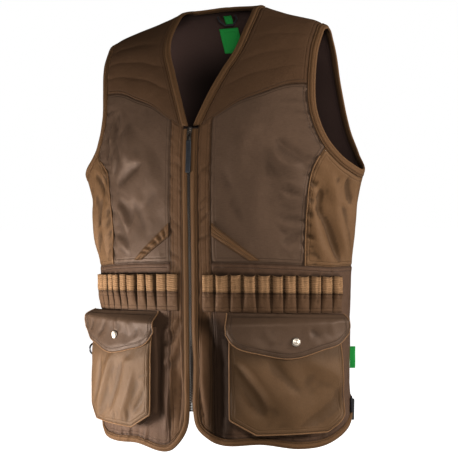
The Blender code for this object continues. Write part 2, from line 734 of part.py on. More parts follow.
def back_panel(lines):
    sides = {}
    for side in (1, -1):
        own = lines[side]
        upper = own["armhole_back_in"][::-1]
        seam = np.array([
            (half_girth(side, d) - a, d) for a, d in own["side_seam"]
        ])
        sides[side] = signed(joined(upper, seam), side)
    neck = back_neck(NECK_BINDING)
    shoulders = [straight(neck[end], sides[side][0], BACK_SHOULDER_STEPS)
                 for end, side in ((0, -1), (-1, 1))]
    top = joined(shoulders[0][::-1], neck, shoulders[1])
    bottom = inset(back_hem(), EDGE_BINDING)
    bottom[0], bottom[-1] = sides[-1][-1], sides[1][-1]
    grid = coons(top, bottom, sides[-1], sides[1])
    grid[0, : BACK_SHOULDER_STEPS + 1, 1] = SHOULDER_GAP / 2
    grid[0, -BACK_SHOULDER_STEPS - 1:, 1] = SHOULDER_GAP / 2
    panel("back_panel", grid, on_back, LOWER_BROWN, gap=BACK_SEAM_GAP)


def back_neck(width):
    half = curve_through(BACK_NECK_LINE)
    if width:
        half = inset(half, width)
        half[0] = (NECK_LINE[0][0] + width, 0.0)
        half[-1] = (0.0, BACK_NECK_LINE[-1][1] + width)
    return joined(signed(half, -1), half[::-1])


def back_hem():
    halves = {}
    for side in (1, -1):
        seam_low = (1 - SIDE_SEAM_SHARE) * half_girth(side, FRONT_EDGE_END)
        rows = ((seam_low, FRONT_EDGE_END, BACK_EDGE_STEPS),) + BACK_EDGE
        halves[side] = signed(curve_through(rows), side)
    return joined(halves[-1], halves[1][::-1])


def band(name, outer, inner, colour, wall=BINDING_WALL, closed=False):
    # A bound edge: a strip between two lines of points and their outward twins
    points = np.stack([outer[0], inner[0]])
    above = np.stack([outer[1], inner[1]])
    return cloth(name, points, above, wall, colour, closed, roughness=0.8)


def lifted(line, place, out):
    return np.array([place(a, d, out) for a, d in line])


def strip_points(pairs):
    # Joins stretches of (line, place) into one line of points and a second one above it
    low = joined(*[lifted(line, place, BINDING_RISE) for line, place in pairs])
    high = joined(*[lifted(line, place, BINDING_RISE + ABOVE) for line, place in pairs])
    return low, high


def eased_apart(outer, inner):
    # Keeps the seam gap between a binding and the panels on its inner line
    step = outer - inner
    length = np.linalg.norm(step, axis=1)[:, None]
    return inner + step / length * BINDING_GAP / 2


def bindings(lines):
    def front(side):
        return lambda across, down, out=0.0: on_front(side * max(across, 0.0), down, out)

    def behind(side):
        return lambda across, down, out=0.0: on_back(side * abs(across), down, out)

    for side in (1, -1):
        own = lines[side]
        label = side_name(side)
        front_in = eased_apart(own["armhole"], own["armhole_in"])
        back_in = eased_apart(own["armhole_back"], own["armhole_back_in"])
        outer = strip_points([(own["armhole"], front(side)), (own["armhole_back"], behind(side))])
        inner = strip_points([(front_in, front(side)), (back_in, behind(side))])
        outer = [line[:-1] for line in outer]
        inner = [line[:-1] for line in inner]
        band(f"armhole_binding_{label}", outer, inner, BINDING_KHAKI, closed=True)
        edge_in = eased_apart(own["edge"], own["edge_in"])
        edge_outer = strip_points([(trimmed(own["edge"]), front(side))])
        edge_inner = strip_points([(trimmed(edge_in), front(side))])
        band(f"front_edge_binding_{label}", edge_outer, edge_inner, BINDING_KHAKI)
    left, right = lines[1], lines[-1]
    neck_in = {side: eased_apart(lines[side]["neck"], lines[side]["neck_in"]) for side in (1, -1)}
    behind_neck = back_neck(0.0)
    behind_in = eased_apart(behind_neck, back_neck(NECK_BINDING))
    outer = strip_points([
        (right["neck"][::-1], front(-1)), (behind_neck, on_back), (left["neck"], front(1)),
    ])
    inner = strip_points([
        (neck_in[-1][::-1], front(-1)), (behind_in, on_back), (neck_in[1], front(1)),
    ])
    band("neck_binding", outer, inner, BINDING_KHAKI)
    hem = back_hem()
    hem_in = inset(hem, EDGE_BINDING)
    for end, side in ((0, -1), (-1, 1)):
        low = lines[side]["side_seam"][-1]
        hem_in[end] = (side * (half_girth(side, low[1]) - low[0]), low[1])
    hem_in = eased_apart(hem, hem_in)
    outer = strip_points([(trimmed(hem), on_back)])
    inner = strip_points([(trimmed(hem_in), on_back)])
    band("back_hem_binding", outer, inner, BINDING_KHAKI)


def trimmed(line):
    line = line.copy()
    line[0] += (line[1] - line[0]) / np.linalg.norm(line[1] - line[0]) * SEAM_GAP * 2
    line[-1] += (line[-2] - line[-1]) / np.linalg.norm(line[-2] - line[-1]) * SEAM_GAP * 2
    return line


def welts(side):
    top = straight(*WELT_TOP, WELT_STEPS)
    low = straight(*WELT_LOW, WELT_STEPS)
    grid = np.stack([top, low])
    panel(f"welt_{side_name(side)}", grid,
          lambda across, down, out=0.0: on_front(side * across, down, out),
          BINDING_KHAKI, out=LAYER_GAP + CLOTH, gap=0.0)


def loop_drop(across):
    return LOOP_SIDE_DROP * (across / (LOOP_START + LOOP_COUNT * LOOP_PITCH)) ** 2


def loop_row(side, down, fullness):
    # One level of the pleated strip: flat lands between the standing loops
    low, high = [], []
    for loop in range(LOOP_COUNT):
        start = LOOP_START + loop * LOOP_PITCH
        width = LOOP_PITCH - LOOP_LAND
        for share, rise in LOOP_PROFILE:
            across = start + LOOP_LAND / 2 + share * width
            out = LAYER_GAP + CLOTH + LOOP_DEPTH * fullness * rise
            low.append(on_front(side * across, down + loop_drop(across), out))
            high.append(on_front(side * across, down + loop_drop(across), out + ABOVE))
    return low, high


def loops(side):
    label = side_name(side)
    rows = [loop_row(side, ELASTIC_TOP, 1.0), loop_row(side, ELASTIC_END, 1.0)]
    points, above = (np.array([row[k] for row in rows]) for k in (0, 1))
    cloth(f"loop_elastic_{label}", points, above, CLOTH, ELASTIC_TAN)
    rows = [loop_row(side, down, fullness) for down, fullness in BASE_ROWS]
    points, above = (np.array([row[k] for row in rows]) for k in (0, 1))
    cloth(f"loop_base_{label}", points, above, CLOTH, LOWER_BROWN)


def bag_depth(down):
    share = smooth((down - BAG_TOP) / BAG_DEPTH_FADE)
    return BAG_MOUTH_DEPTH + (BAG_DEPTH - BAG_MOUTH_DEPTH) * float(share)


def bag_outline():
    inner = straight((BAG_IN, BAG_TOP), (BAG_IN, BAG_SHOULDER), 5)
    chamfer_in = straight((BAG_IN, BAG_SHOULDER), (BAG_IN + BAG_CHAMFER_IN, BAG_LOW), 2)
    low = straight((BAG_IN + BAG_CHAMFER_IN, BAG_LOW), (BAG_OUT - BAG_CHAMFER_OUT, BAG_LOW), 7)
    chamfer_out = straight((BAG_OUT - BAG_CHAMFER_OUT, BAG_LOW), (BAG_OUT, BAG_SHOULDER), 2)
    outer = straight((BAG_OUT, BAG_SHOULDER), (BAG_OUT, BAG_TOP), 5)
    return inner, joined(chamfer_in, low, chamfer_out), outer


def pockets(side):
    label = side_name(side)
    inner, low, outer = bag_outline()

    def face(across, down, out=0.0):
        return on_front(side * across, down, bag_depth(down) + out)

    top = straight(inner[0], outer[-1], len(low) - 1)
    grid = coons(top, low, inner, outer[::-1])
    panel(f"pocket_face_{label}", grid, face, KHAKI, out=LAYER_GAP, gap=0.0)
    path = joined(inner, low, outer)
    heads = [face(a, d, LAYER_GAP - CLOTH - SEAM_GAP) for a, d in path]
    feet = [on_front(side * a, d, LAYER_GAP) for a, d in path]
    wider = inset(path, -ABOVE)
    heads_out = [face(a, d, LAYER_GAP - CLOTH - SEAM_GAP) for a, d in wider]
    feet_out = [on_front(side * a, d, LAYER_GAP) for a, d in wider]
    cloth(f"pocket_gusset_{label}", np.array([heads, feet]), np.array([heads_out, feet_out]),
          CLOTH, LOWER_BROWN)
    flap_and_snap(side, label)


def flap_out(side, across, down):
    # The flap lies on the bag below its mouth and runs flat to its top seam above it
    over = bag_depth(max(down, BAG_TOP)) + LAYER_GAP + FLAP_CLEARANCE + FLAP_WALL
    share = smooth((down - FLAP_TOP) / (FLAP_SHOULDER - FLAP_TOP))
    rise = (LAYER_GAP + FLAP_WALL) * (1 - share) + over * share
    if side < 0:
        lift = max(0.0, (across - FLARE_FROM) / (FLAP_OUT - FLARE_FROM))
        rise += FLAP_FLARE * lift ** 2 * share
    return float(rise)


def flap_and_snap(side, label):
    def place(across, down, out=0.0):
        return on_front(side * across, down, flap_out(side, across, down) + out)

    low = curve_through(FLAP_LOW)
    top = straight((FLAP_IN, FLAP_TOP), (FLAP_OUT, FLAP_TOP), len(low) - 1)
    top[:, 0] = low[:, 0]
    top[:, 1] = [FLAP_TOP + loop_drop(a) for a in top[:, 0]]
    shoulder = np.stack([low[:, 0], np.full(len(low), FLAP_SHOULDER)], axis=-1)
    share = np.linspace(0, 1, FLAP_ROWS)[:, None, None]
    grid = np.concatenate([top[None], (1 - share) * shoulder[None] + share * low[None]])
    panel(f"pocket_flap_{label}", grid, place, CHEST_BROWN, wall=FLAP_WALL, gap=0.0)
    across, down = SNAP_AT[side]
    lift = Matrix.Translation((0, 0, SNAP_HEIGHT / 2 + SNAP_GAP))
    cap = cone_mesh(f"snap_{label}", SNAP_RADIUS, SNAP_TOP_RADIUS, SNAP_HEIGHT, lift, 20)
    cap.shade_smooth()
    cap.set_sharp_from_angle(angle=math.radians(40))
    snap = new_object(f"snap_{label}", cap, NICKEL, 0.3, 1.0)
    snap.matrix_world = frame_at(lambda a, d, out=0.0: place(side * a, d, out),
                                 side * across, down, 0.0)


def strip_grid(start, end, top, low, across_steps, down_steps):
    rows = np.linspace(top, low, down_steps + 1)
    return np.array([[(a, d) for a in np.linspace(start, end, across_steps + 1)] for d in rows])


def zip_pieces():
    for side in (1, -1):
        tape = strip_grid(TAPE_IN * side, TAPE_OUT * side, ZIP_TOP, ZIP_END, 1, ZIP_STEPS)
        panel(f"zip_tape_{side_name(side)}", tape, on_front, BLACK, wall=TAPE_WALL,
              out=TAPE_OUTWARD, gap=0.0)
    chain = strip_grid(-CHAIN_HALF, CHAIN_HALF, ZIP_TOP, ZIP_END, 1, ZIP_STEPS)
    panel("zip_chain", chain, on_front, BRASS_DARK, wall=CHAIN_WALL, out=CHAIN_OUTWARD, gap=0.0)
    place = frame_at(on_front, 0.0, SLIDER_DOWN, SLIDER_OUTWARD)
    base = box_mesh("zip_slider", SLIDER_SIZE, (0, 0, SLIDER_SIZE[2] / 2))
    slider = new_object("zip_slider", base, BRASS_DARK, 0.35, 1.0)
    slider.matrix_world = place
    softened(slider, SLIDER_EDGE)
    top = SLIDER_SIZE[2] + BRIDGE_HEIGHT
    bridge = box_mesh("bridge", (BRIDGE_WIDTH, BRIDGE_LENGTH, top - BRIDGE_LAP), (0, 0, top / 2))
    joined_by(slider, bridge, "UNION")
    window = box_mesh("window", (BRIDGE_WIDTH * 2, BRIDGE_LENGTH - 2 * BRIDGE_WALL, BRIDGE_WINDOW),
                      (0, 0, SLIDER_SIZE[2] + BRIDGE_LAP + BRIDGE_WINDOW / 2))
    joined_by(slider, window, "DIFFERENCE")
    pull_pieces(place)


def pull_pieces(slider_place):
    # The tab's axle lies in the bridge's window; the tab hangs down the zip from it
    height = SLIDER_SIZE[2] + BRIDGE_LAP + AXLE_CLEARANCE + AXLE_RADIUS
    axle = slider_place @ Vector((0, BRIDGE_WALL + AXLE_INSET - BRIDGE_LENGTH / 2, height))
    end = Vector(on_front(0.0, PULL_END_DOWN, PULL_END_OUT))
    axle.x = end.x = 0.0
    run = (end - axle).normalized()
    side = Vector((1, 0, 0))
    normal = side.cross(-run)
    axes = Matrix((side, -run, normal)).transposed()
    hinge = bpy.data.objects.new("zip_pull_hinge", None)
    hinge.matrix_world = Matrix.Translation(axle) @ axes.to_4x4()
    GILET.objects.link(hinge)
    turn = Matrix.Rotation(math.pi / 2, 4, "Y")
    rod = cone_mesh("zip_pull_tab", AXLE_RADIUS, AXLE_RADIUS, PULL_WIDTH - PULL_LAP, turn)
    tab = new_object("zip_pull_tab", rod, BRASS_DARK, 0.35, 1.0)
    tab.parent = hinge
    plate_size = (PULL_WIDTH, PULL_LENGTH, PULL_WALL)
    plate = box_mesh("plate", plate_size, (0, PULL_LAP - PULL_LENGTH / 2, 0))
    window = box_mesh("window", (PULL_WINDOW[0], PULL_WINDOW[1], PULL_WALL * 2),
                      (0, -PULL_WINDOW[1] / 2, 0))
    cut_plate(plate, window)
    joined_by(tab, plate, "UNION")
    centre = PULL_LAP - PULL_LENGTH - SEAM_GAP - SLEEVE_SIZE[1] / 2
    sleeve = box_mesh("zip_puller", SLEEVE_SIZE, (0, centre, 0))
    puller = new_object("zip_puller", sleeve, SLATE, 0.55)
    puller.parent = hinge
    softened(puller, SLEEVE_EDGE, 2)


def cut_plate(plate, window):
    # The plate is a frame at its top: its window is cut before it joins the axle
    holder = bpy.data.objects.new("plate", plate)
    cutter = bpy.data.objects.new("window", window)
    for tool in (holder, cutter):
        CUTTERS.objects.link(tool)
    cut = holder.modifiers.new("Window", "BOOLEAN")
    cut.operation = "DIFFERENCE"
    cut.object = cutter
    bpy.context.view_layer.update()
    evaluated = holder.evaluated_get(bpy.context.evaluated_depsgraph_get())
    result = bmesh.new()
    result.from_mesh(evaluated.to_mesh())
    result.to_mesh(plate)
    result.free()
    for tool in (holder, cutter):
        bpy.data.objects.remove(tool)


def adjusters(side):
    label = side_name(side)

    def place(across, down, out=0.0):
        return on_front(side * across, down, out)

    strap = strip_grid(STRAP_FROM, STRAP_TO, STRAP_DOWN - STRAP_WIDTH / 2,
                       STRAP_DOWN + STRAP_WIDTH / 2, STRAP_STEPS, 1)
    panel(f"adjuster_strap_{label}", strap, place, BLACK, wall=STRAP_WALL,
          out=STRAP_RISE + STRAP_WALL, gap=0.0)
    rise = STRAP_RISE + STRAP_WALL + SEAM_GAP
    mesh = box_mesh(f"adjuster_slide_{label}", SLIDE_SIZE, (0, 0, SLIDE_SIZE[2] / 2))
    slide = new_object(f"adjuster_slide_{label}", mesh, BLACK, 0.4)
    slide.matrix_world = frame_at(on_front, side * SLIDE_AT[0], SLIDE_AT[1], rise)
    softened(slide, SLIDE_EDGE)


def trims(lines):
    seam = lines[1]["side_seam"]
    across = float(np.interp(SIDE_TAG_DOWN, seam[:, 1], seam[:, 0]))
    mesh = box_mesh("side_tag", SIDE_TAG, (0, 0, SIDE_TAG[2] / 2))
    tag = new_object("side_tag", mesh, LABEL_GREEN, 0.7)
    tag.matrix_world = frame_at(on_front, across, SIDE_TAG_DOWN, LAYER_GAP)
    frame = frame_at(on_front, *RING_AT, 0.0)
    bpy.ops.mesh.primitive_torus_add(major_radius=RING_RADIUS, minor_radius=RING_WIRE,
                                     major_segments=20, minor_segments=6)
    ring_object = bpy.context.object
    mesh = ring_object.data
    bpy.data.objects.remove(ring_object)
    mesh.name = "d_ring"
    mesh.transform(Matrix.Translation((0, 0, RING_OUT)) @ Matrix.Rotation(math.pi / 2, 4, "Y"))
    ring_part = new_object("d_ring", mesh, BLACK, 0.4)
    ring_part.matrix_world = frame
    mesh = box_mesh("d_ring_tab", RING_TAB, (0, 0, RING_TAB[2] / 2 + LAYER_GAP))
    ring_tab = new_object("d_ring_tab", mesh, BLACK, 0.8)
    ring_tab.matrix_world = frame


def neck_trims():
    half = LABEL_SIZE[0] / 2
    label = strip_grid(LABEL_CENTRE - half, LABEL_CENTRE + half, LABEL_DOWN - LABEL_SIZE[1] / 2,
                       LABEL_DOWN + LABEL_SIZE[1] / 2, 2, 2)
    panel("neck_label", label, on_back, LABEL_GREEN, wall=LABEL_WALL,
          out=-CLOTH - LABEL_GAP, gap=0.0)
    inside = -CLOTH - TRIM_GAP
    half = HANGER_TAG[0] / 2
    tag = strip_grid(-half, half, HANGER_TAG_DOWN - HANGER_TAG[1] / 2,
                     HANGER_TAG_DOWN + HANGER_TAG[1] / 2, 1, 1)
    panel("hanger_tag", tag, on_back, LABEL_GREEN, wall=LABEL_WALL, out=inside, gap=0.0)
    curve = bpy.data.curves.new("hanger_loop", "CURVE")
    curve.dimensions = "3D"
    curve.bevel_depth = HANGER_WIRE
    curve.bevel_resolution = 2
    curve.use_fill_caps = True
    spline = curve.splines.new("POLY")
    route = []
    for share in np.linspace(-1, 1, HANGER_STEPS + 1):
        across = HANGER_HALF * math.copysign(min(1.0, abs(share) / HANGER_TURN), share)
        climb = max(0.0, abs(share) - HANGER_FLAT) / (1 - HANGER_FLAT)
        fall = HANGER_LOW - (HANGER_LOW - HANGER_TOP) * climb
        route.append(on_back(across, fall, inside - LABEL_WALL - HANGER_WIRE - SEAM_GAP))
    spline.points.add(len(route) - 1)
    for point, place in zip(spline.points, route):
        point.co = (*place, 1.0)
    hanger = bpy.data.objects.new("hanger_loop", curve)
    curve.materials.append(material("hanger_loop", BLACK, 0.8))
    GILET.objects.link(hanger)


for old in list(bpy.data.objects):
    bpy.data.objects.remove(old)
GILET = bpy.data.collections.new("gilet")
CUTTERS = bpy.data.collections.new("gilet_cutters")
for group in (GILET, CUTTERS):
    bpy.context.scene.collection.children.link(group)

LINES = {side: seam_lines(side) for side in (1, -1)}
for side in (1, -1):
    front_panels(side, LINES[side])
    welts(side)
    loops(side)
    pockets(side)
    adjusters(side)
back_panel(LINES)
bindings(LINES)
zip_pieces()
trims(LINES)
neck_trims()
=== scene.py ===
import math

import bmesh
import bpy
import numpy as np
from mathutils import Matrix, Vector


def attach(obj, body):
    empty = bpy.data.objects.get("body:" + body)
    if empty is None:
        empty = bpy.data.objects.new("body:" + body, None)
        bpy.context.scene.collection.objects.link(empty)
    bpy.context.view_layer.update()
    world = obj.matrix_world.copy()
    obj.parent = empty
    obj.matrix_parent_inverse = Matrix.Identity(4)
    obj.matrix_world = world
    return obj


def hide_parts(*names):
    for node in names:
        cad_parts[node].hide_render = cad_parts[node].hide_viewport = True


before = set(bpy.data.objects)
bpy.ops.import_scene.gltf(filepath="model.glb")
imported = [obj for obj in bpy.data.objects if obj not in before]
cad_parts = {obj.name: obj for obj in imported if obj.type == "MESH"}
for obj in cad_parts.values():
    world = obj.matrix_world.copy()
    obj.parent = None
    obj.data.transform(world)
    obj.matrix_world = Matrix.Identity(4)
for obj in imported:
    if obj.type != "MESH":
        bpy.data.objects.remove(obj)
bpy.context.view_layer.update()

scene = bpy.context.scene
scene.view_settings.view_transform = "Standard"
scene.view_settings.gamma = 0.88
print("frame loaded with", len(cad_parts), "nodes")

# worn form of the gilet, in metres: down is measured along the cloth from the shoulder ridge
formTable = dict(
    columns=("down", "height", "left", "right", "front", "back", "frontPower", "backPower"),
    rows=(
        (0.0, 0.0, 0.206, 0.238, 0.0, 0.0, 2.3, 2.3),
        (0.03, -0.006, 0.211, 0.245, 0.029, 0.029, 2.2, 2.3),
        (0.06, -0.024, 0.216, 0.249, 0.053, 0.052, 2.1, 2.3),
        (0.1, -0.055, 0.22, 0.251, 0.082, 0.078, 2.05, 2.3),
        (0.15, -0.1, 0.224, 0.251, 0.106, 0.102, 2.0, 2.3),
        (0.2, -0.147, 0.229, 0.25, 0.126, 0.118, 1.95, 2.25),
        (0.26, -0.205, 0.238, 0.253, 0.141, 0.126, 1.9, 2.2),
        (0.33, -0.274, 0.241, 0.262, 0.149, 0.128, 1.85, 2.2),
        (0.4, -0.344, 0.23, 0.257, 0.151, 0.126, 1.8, 2.2),
        (0.45, -0.394, 0.224, 0.252, 0.151, 0.124, 1.8, 2.2),
        (0.5, -0.444, 0.22, 0.242, 0.15, 0.122, 1.8, 2.2),
        (0.55, -0.494, 0.218, 0.24, 0.15, 0.122, 1.8, 2.2),
        (0.6, -0.544, 0.217, 0.242, 0.15, 0.122, 1.8, 2.2),
        (0.7, -0.644, 0.216, 0.243, 0.151, 0.124, 1.8, 2.2),
        (0.83, -0.774, 0.216, 0.243, 0.152, 0.126, 1.8, 2.2),
    ),
    shoulder=dict(start=0.072, slope=0.27, tip={1: 0.16, -1: 0.19}, droop={1: 9.0, -1: 6.0},
                  fade=0.3),
    neck=dict(setBack=0.012, rise=0.013, width=0.13, fade=0.1),
    levelStep=0.005,
    ringSteps=180,
    shareSteps=901,
    slopeStep=0.004,
)

# largest folds, as on the solid: side, along, down, length, width, turn, out
bodyFolds = (
    (1, 0.3, 0.325, 0.05, 0.03, 0.0, 0.007),
    (-1, 0.29, 0.325, 0.05, 0.03, 0.0, 0.006),
    (1, 0.205, 0.345, 0.045, 0.016, 62.0, -0.0035),
    (1, 0.178, 0.375, 0.05, 0.018, 50.0, 0.003),
    (1, 0.255, 0.41, 0.09, 0.02, 78.0, -0.0035),
    (1, 0.292, 0.43, 0.08, 0.02, 84.0, 0.003),
    (-1, 0.205, 0.35, 0.05, 0.016, 60.0, -0.0035),
    (-1, 0.235, 0.4, 0.08, 0.02, 75.0, 0.003),
    (-1, 0.15, 0.42, 0.07, 0.022, 35.0, -0.0025),
    (1, 0.12, 0.3, 0.09, 0.026, 25.0, 0.002),
    (-1, 0.13, 0.29, 0.08, 0.026, 28.0, 0.0025),
    (1, 0.42, 0.52, 0.15, 0.028, 88.0, -0.004),
    (-1, 0.43, 0.5, 0.16, 0.028, 92.0, -0.004),
)

# creases, in millimetres: from (along, down) to (along, down), bow, half width, height
creases = {
    1: (
        # chest, towards the armhole and the princess seam
        (142, 284, 188, 318, 4, 11, -3.3),
        (135, 305, 185, 338, 4, 12, 2.4),
        (152, 366, 188, 376, 2, 5, -2.1),
        (160, 354, 188, 362, 1, 5, 1.5),
        (146, 409, 188, 417, 2, 5.5, -1.9),
        (150, 424, 188, 430, 1, 6, 1.5),
        (150, 450, 184, 440, 3, 8, -1.8),
        (88, 276, 70, 352, -4, 16, 2.1),
        (60, 330, 92, 420, 6, 16, -1.8),
        (120, 350, 112, 440, 6, 18, 2.1),
        # khaki side panel: one deep fold, a broad ridge beside it and gathers at the seam
        (219, 366, 218, 414, 1, 7.5, -4.6),
        (215, 396, 262, 488, -3, 10.5, -6),
        (238, 345, 288, 486, 6, 13, 5.2),
        (270, 345, 286, 392, 3, 10, -3.6),
        (300, 345, 306, 480, 2, 10, 2.6),
        (200, 354, 213, 361, 1, 3.6, -2.6),
        (198, 368, 214, 374, 1, 4, 2),
        (196, 383, 209, 388, 1, 3.6, -2.8),
        (195, 395, 208, 399, 1, 3.6, 2),
        (194, 407, 206, 410, 1, 3.4, -2.2),
        (194, 441, 207, 446, 1, 3.6, -2),
        (205, 420, 226, 480, 3, 9, 2.4),
        (335, 350, 326, 470, -6, 10, -3),
        (352, 380, 354, 520, 6, 11, 3),
        # lower front
        (20, 610, 24, 700, 2, 6, 2.2),
        (14, 690, 26, 740, 2, 5, -1.8),
        (20, 558, 38, 630, -3, 8.5, -5),
        (50, 600, 50, 770, 1, 11.5, -6.5),
        (120, 764, 170, 774, 3, 4, 1.4),
        (270, 560, 276, 700, 6, 8.5, 3),
        (300, 540, 292, 690, -6, 8.5, -3),
        (340, 560, 348, 730, 8, 11, 3.6),
        # placket
        (16, 395, 34, 380, 1, 3.4, 1.4),
        (16, 418, 34, 402, 1, 3.4, -1.4),
        (16, 440, 35, 430, 1, 3.4, 1.4),
        (16, 330, 34, 318, 1, 4, 1),
        # side and back
        (400, 420, 380, 560, 10, 13, 4),
        (440, 560, 446, 740, 6, 14, -4.4),
        (470, 440, 490, 640, -8, 15, 4.2),
        (540, 480, 520, 720, 10, 16, 3.8),
        (575, 180, 470, 230, 12, 13, 2.6),
        (580, 240, 450, 300, 12, 13, -2.4),
        (420, 300, 480, 360, 8, 12, 2.6),
    ),
    -1: (
        # chest: broad soft ridges that catch the light, and a slanting hollow
        (127, 256, 135, 314, 2, 14, 4.2),
        (158, 292, 169, 334, 2, 6.2, 3),
        (160, 384, 134, 432, 3, 7.8, 4.9),
        (152, 354, 95, 320, 4, 10, -4.2),
        (158, 222, 166, 264, 2, 8, -3),
        (189, 258, 186, 308, 1, 6, -3.5),
        (172, 240, 178, 282, 1, 6, 3),
        (78, 300, 100, 390, 8, 14, 2.1),
        (120, 380, 90, 440, 4, 12, -2.3),
        (170, 444, 130, 470, 4, 6, 2.3),
        # khaki side panel: a forked fold and a lit ridge below it
        (232, 330, 203, 369, 3, 7.5, -4.6),
        (214, 374, 228, 424, 3, 8.5, -4.2),
        (202, 322, 204, 352, 1, 5.5, 3.4),
        (206, 384, 206, 474, 2, 10, 4),
        (240, 360, 252, 474, 4, 9, 3.8),
        (270, 360, 276, 476, 6, 9, -3.4),
        (310, 370, 304, 500, -6, 11, 3.4),
        (350, 380, 356, 520, 6, 12, -3.4),
        # lower front
        (20, 572, 54, 600, 3, 5, 3.2),
        (22, 592, 58, 622, 4, 5, -3.4),
        (24, 620, 56, 652, 4, 5.5, 3),
        (36, 640, 50, 760, 4, 7, 4),
        (58, 600, 62, 740, -4, 8, -4.2),
        (20, 660, 24, 750, 3, 5, -2.6),
        (90, 758, 100, 785, 2, 3.5, 2.2),
        (112, 760, 118, 787, 2, 3.2, -2),
        (134, 760, 142, 788, 2, 3.5, 2.2),
        (160, 762, 164, 790, 2, 3.2, 2),
        (188, 760, 196, 790, 2, 3.6, -2.2),
        (270, 560, 276, 700, 6, 8.5, 3.2),
        (310, 560, 318, 720, 8, 11, 3.6),
        # side and back
        (396, 470, 404, 640, 8, 12, 3.6),
        (452, 500, 470, 690, -10, 15, -4),
        (516, 400, 500, 560, 8, 16, 3.6),
        (590, 560, 570, 760, -8, 18, 4),
        (560, 300, 460, 380, 14, 15, -3),
        (610, 210, 520, 250, 10, 11, 2.2),
    ),
}


def smooth(t):
    t = np.clip(t, 0.0, 1.0)
    return t * t * (3 - 2 * t)


def eased(places, values, at):
    steps = np.diff(places)
    slopes = np.diff(values) / steps
    ends = np.zeros_like(values)
    both, total = slopes[:-1] * slopes[1:], slopes[:-1] + slopes[1:]
    ends[1:-1] = np.where(both > 0, 2 * both / np.where(total == 0, 1, total), 0)
    ends[0], ends[-1] = slopes[0], slopes[-1]
    i = np.clip(np.searchsorted(places, at) - 1, 0, len(places) - 2)
    t = (at - places[i]) / steps[i]
    low = (1 + 2 * t) * (1 - t) ** 2 * values[i] + t * (1 - t) ** 2 * steps[i] * ends[i]
    return low + t * t * (3 - 2 * t) * values[i + 1] + t * t * (t - 1) * steps[i] * ends[i + 1]


def noise(x, y, seed):
    # smooth noise from a fixed table, -1 to 1
    table = np.random.default_rng(seed).uniform(-1, 1, (64, 64))
    x, y = np.broadcast_arrays(np.asarray(x, float), np.asarray(y, float))
    i, j = np.floor(x).astype(int), np.floor(y).astype(int)
    fx, fy = smooth(x - i), smooth(y - j)
    low = table[i % 64, j % 64] * (1 - fx) + table[(i + 1) % 64, j % 64] * fx
    high = table[i % 64, (j + 1) % 64] * (1 - fx) + table[(i + 1) % 64, (j + 1) % 64] * fx
    return low * (1 - fy) + high * fy


def unit(vectors):
    return vectors / np.linalg.norm(vectors, axis=-1)[..., None]


def runAlong(line):
    # length along a line, at each of its points
    return np.concatenate([[0], np.cumsum(np.linalg.norm(np.diff(line, axis=0), axis=1))])


def linked(name, data):
    made = bpy.data.objects.new(name, data)
    scene.collection.objects.link(made)
    return made


levels = np.arange(0.0, formTable["rows"][-1][0] + formTable["levelStep"] / 2,
                   formTable["levelStep"])
formRows = np.array(formTable["rows"], float)
formSizes = {name: eased(formRows[:, 0], formRows[:, k], levels)
             for k, name in enumerate(formTable["columns"])}


def ringOf(level, side):
    angle = np.linspace(0, math.pi, formTable["ringSteps"] + 1)
    front = np.cos(angle) >= 0
    power = np.where(front, formSizes["frontPower"][level], formSizes["backPower"][level])
    half = formSizes["left" if side > 0 else "right"][level]
    x = half * np.abs(np.sin(angle)) ** (2 / power)
    depth = np.where(front, -formSizes["front"][level], formSizes["back"][level])
    y = depth * np.abs(np.cos(angle)) ** (2 / power)
    shoulder, neck = formTable["shoulder"], formTable["neck"]
    slope = shoulder["slope"] * np.maximum(x - shoulder["start"], 0)
    droop = shoulder["droop"][side] * np.maximum(x - shoulder["tip"][side], 0) ** 2
    z = formSizes["height"][level] - (slope + droop) * smooth(1 - levels[level] / shoulder["fade"])
    near = np.clip(1 - (x / neck["width"]) ** 2, 0, 1) ** 2
    near = near * smooth(1 - levels[level] / neck["fade"])
    return np.stack([side * x, y + neck["setBack"] * near, z + neck["rise"] * near], axis=-1)


def evenRings(side):
    # each ring again at even shares of its length
    points, girths = [], []
    for level in range(len(levels)):
        ring = ringOf(level, side)
        length = runAlong(ring)
        share = np.linspace(0, length[-1], formTable["shareSteps"])
        points.append(np.stack([np.interp(share, length, ring[:, k]) for k in range(3)], axis=-1))
        girths.append(length[-1])
    return np.array(points), np.array(girths)


form = {side: evenRings(side) for side in (1, -1)}


def girth(side, down):
    return np.interp(down, levels, form[side][1])


def ringPoint(side, along, down):
    points, girths = form[side]
    place = np.clip(down / formTable["levelStep"], 0, len(levels) - 1.001)
    level = place.astype(int)
    share = (place - level)[..., None]
    ends = []
    for k in (level, level + 1):
        t = np.clip(along / girths[k], 0, 1) * (formTable["shareSteps"] - 1)
        i = np.minimum(t.astype(int), formTable["shareSteps"] - 2)
        f = (t - i)[..., None]
        ends.append((1 - f) * points[k, i] + f * points[k, i + 1])
    return (1 - share) * ends[0] + share * ends[1]


def barePoint(side, across, down, back):
    # over the shoulder ridge the chart turns to the other side of the body
    behind = (down < 0) != back
    level = np.abs(down)
    along = np.where(behind, girth(side, level) - across, across)
    return ringPoint(side, along, level)


def creaseRelief(side, along, down):
    total = np.zeros_like(along)
    for row in bodyFolds:
        if row[0] != side:
            continue
        turn = math.radians(row[5])
        du, dv = along - row[1], down - row[2]
        run = (du * math.cos(turn) + dv * math.sin(turn)) / row[3]
        rise = (dv * math.cos(turn) - du * math.sin(turn)) / row[4]
        total += row[6] * np.exp(-run * run - rise * rise)
    return addCreases(total, creases[side], along, down) + drapeRelief(side, along, down)


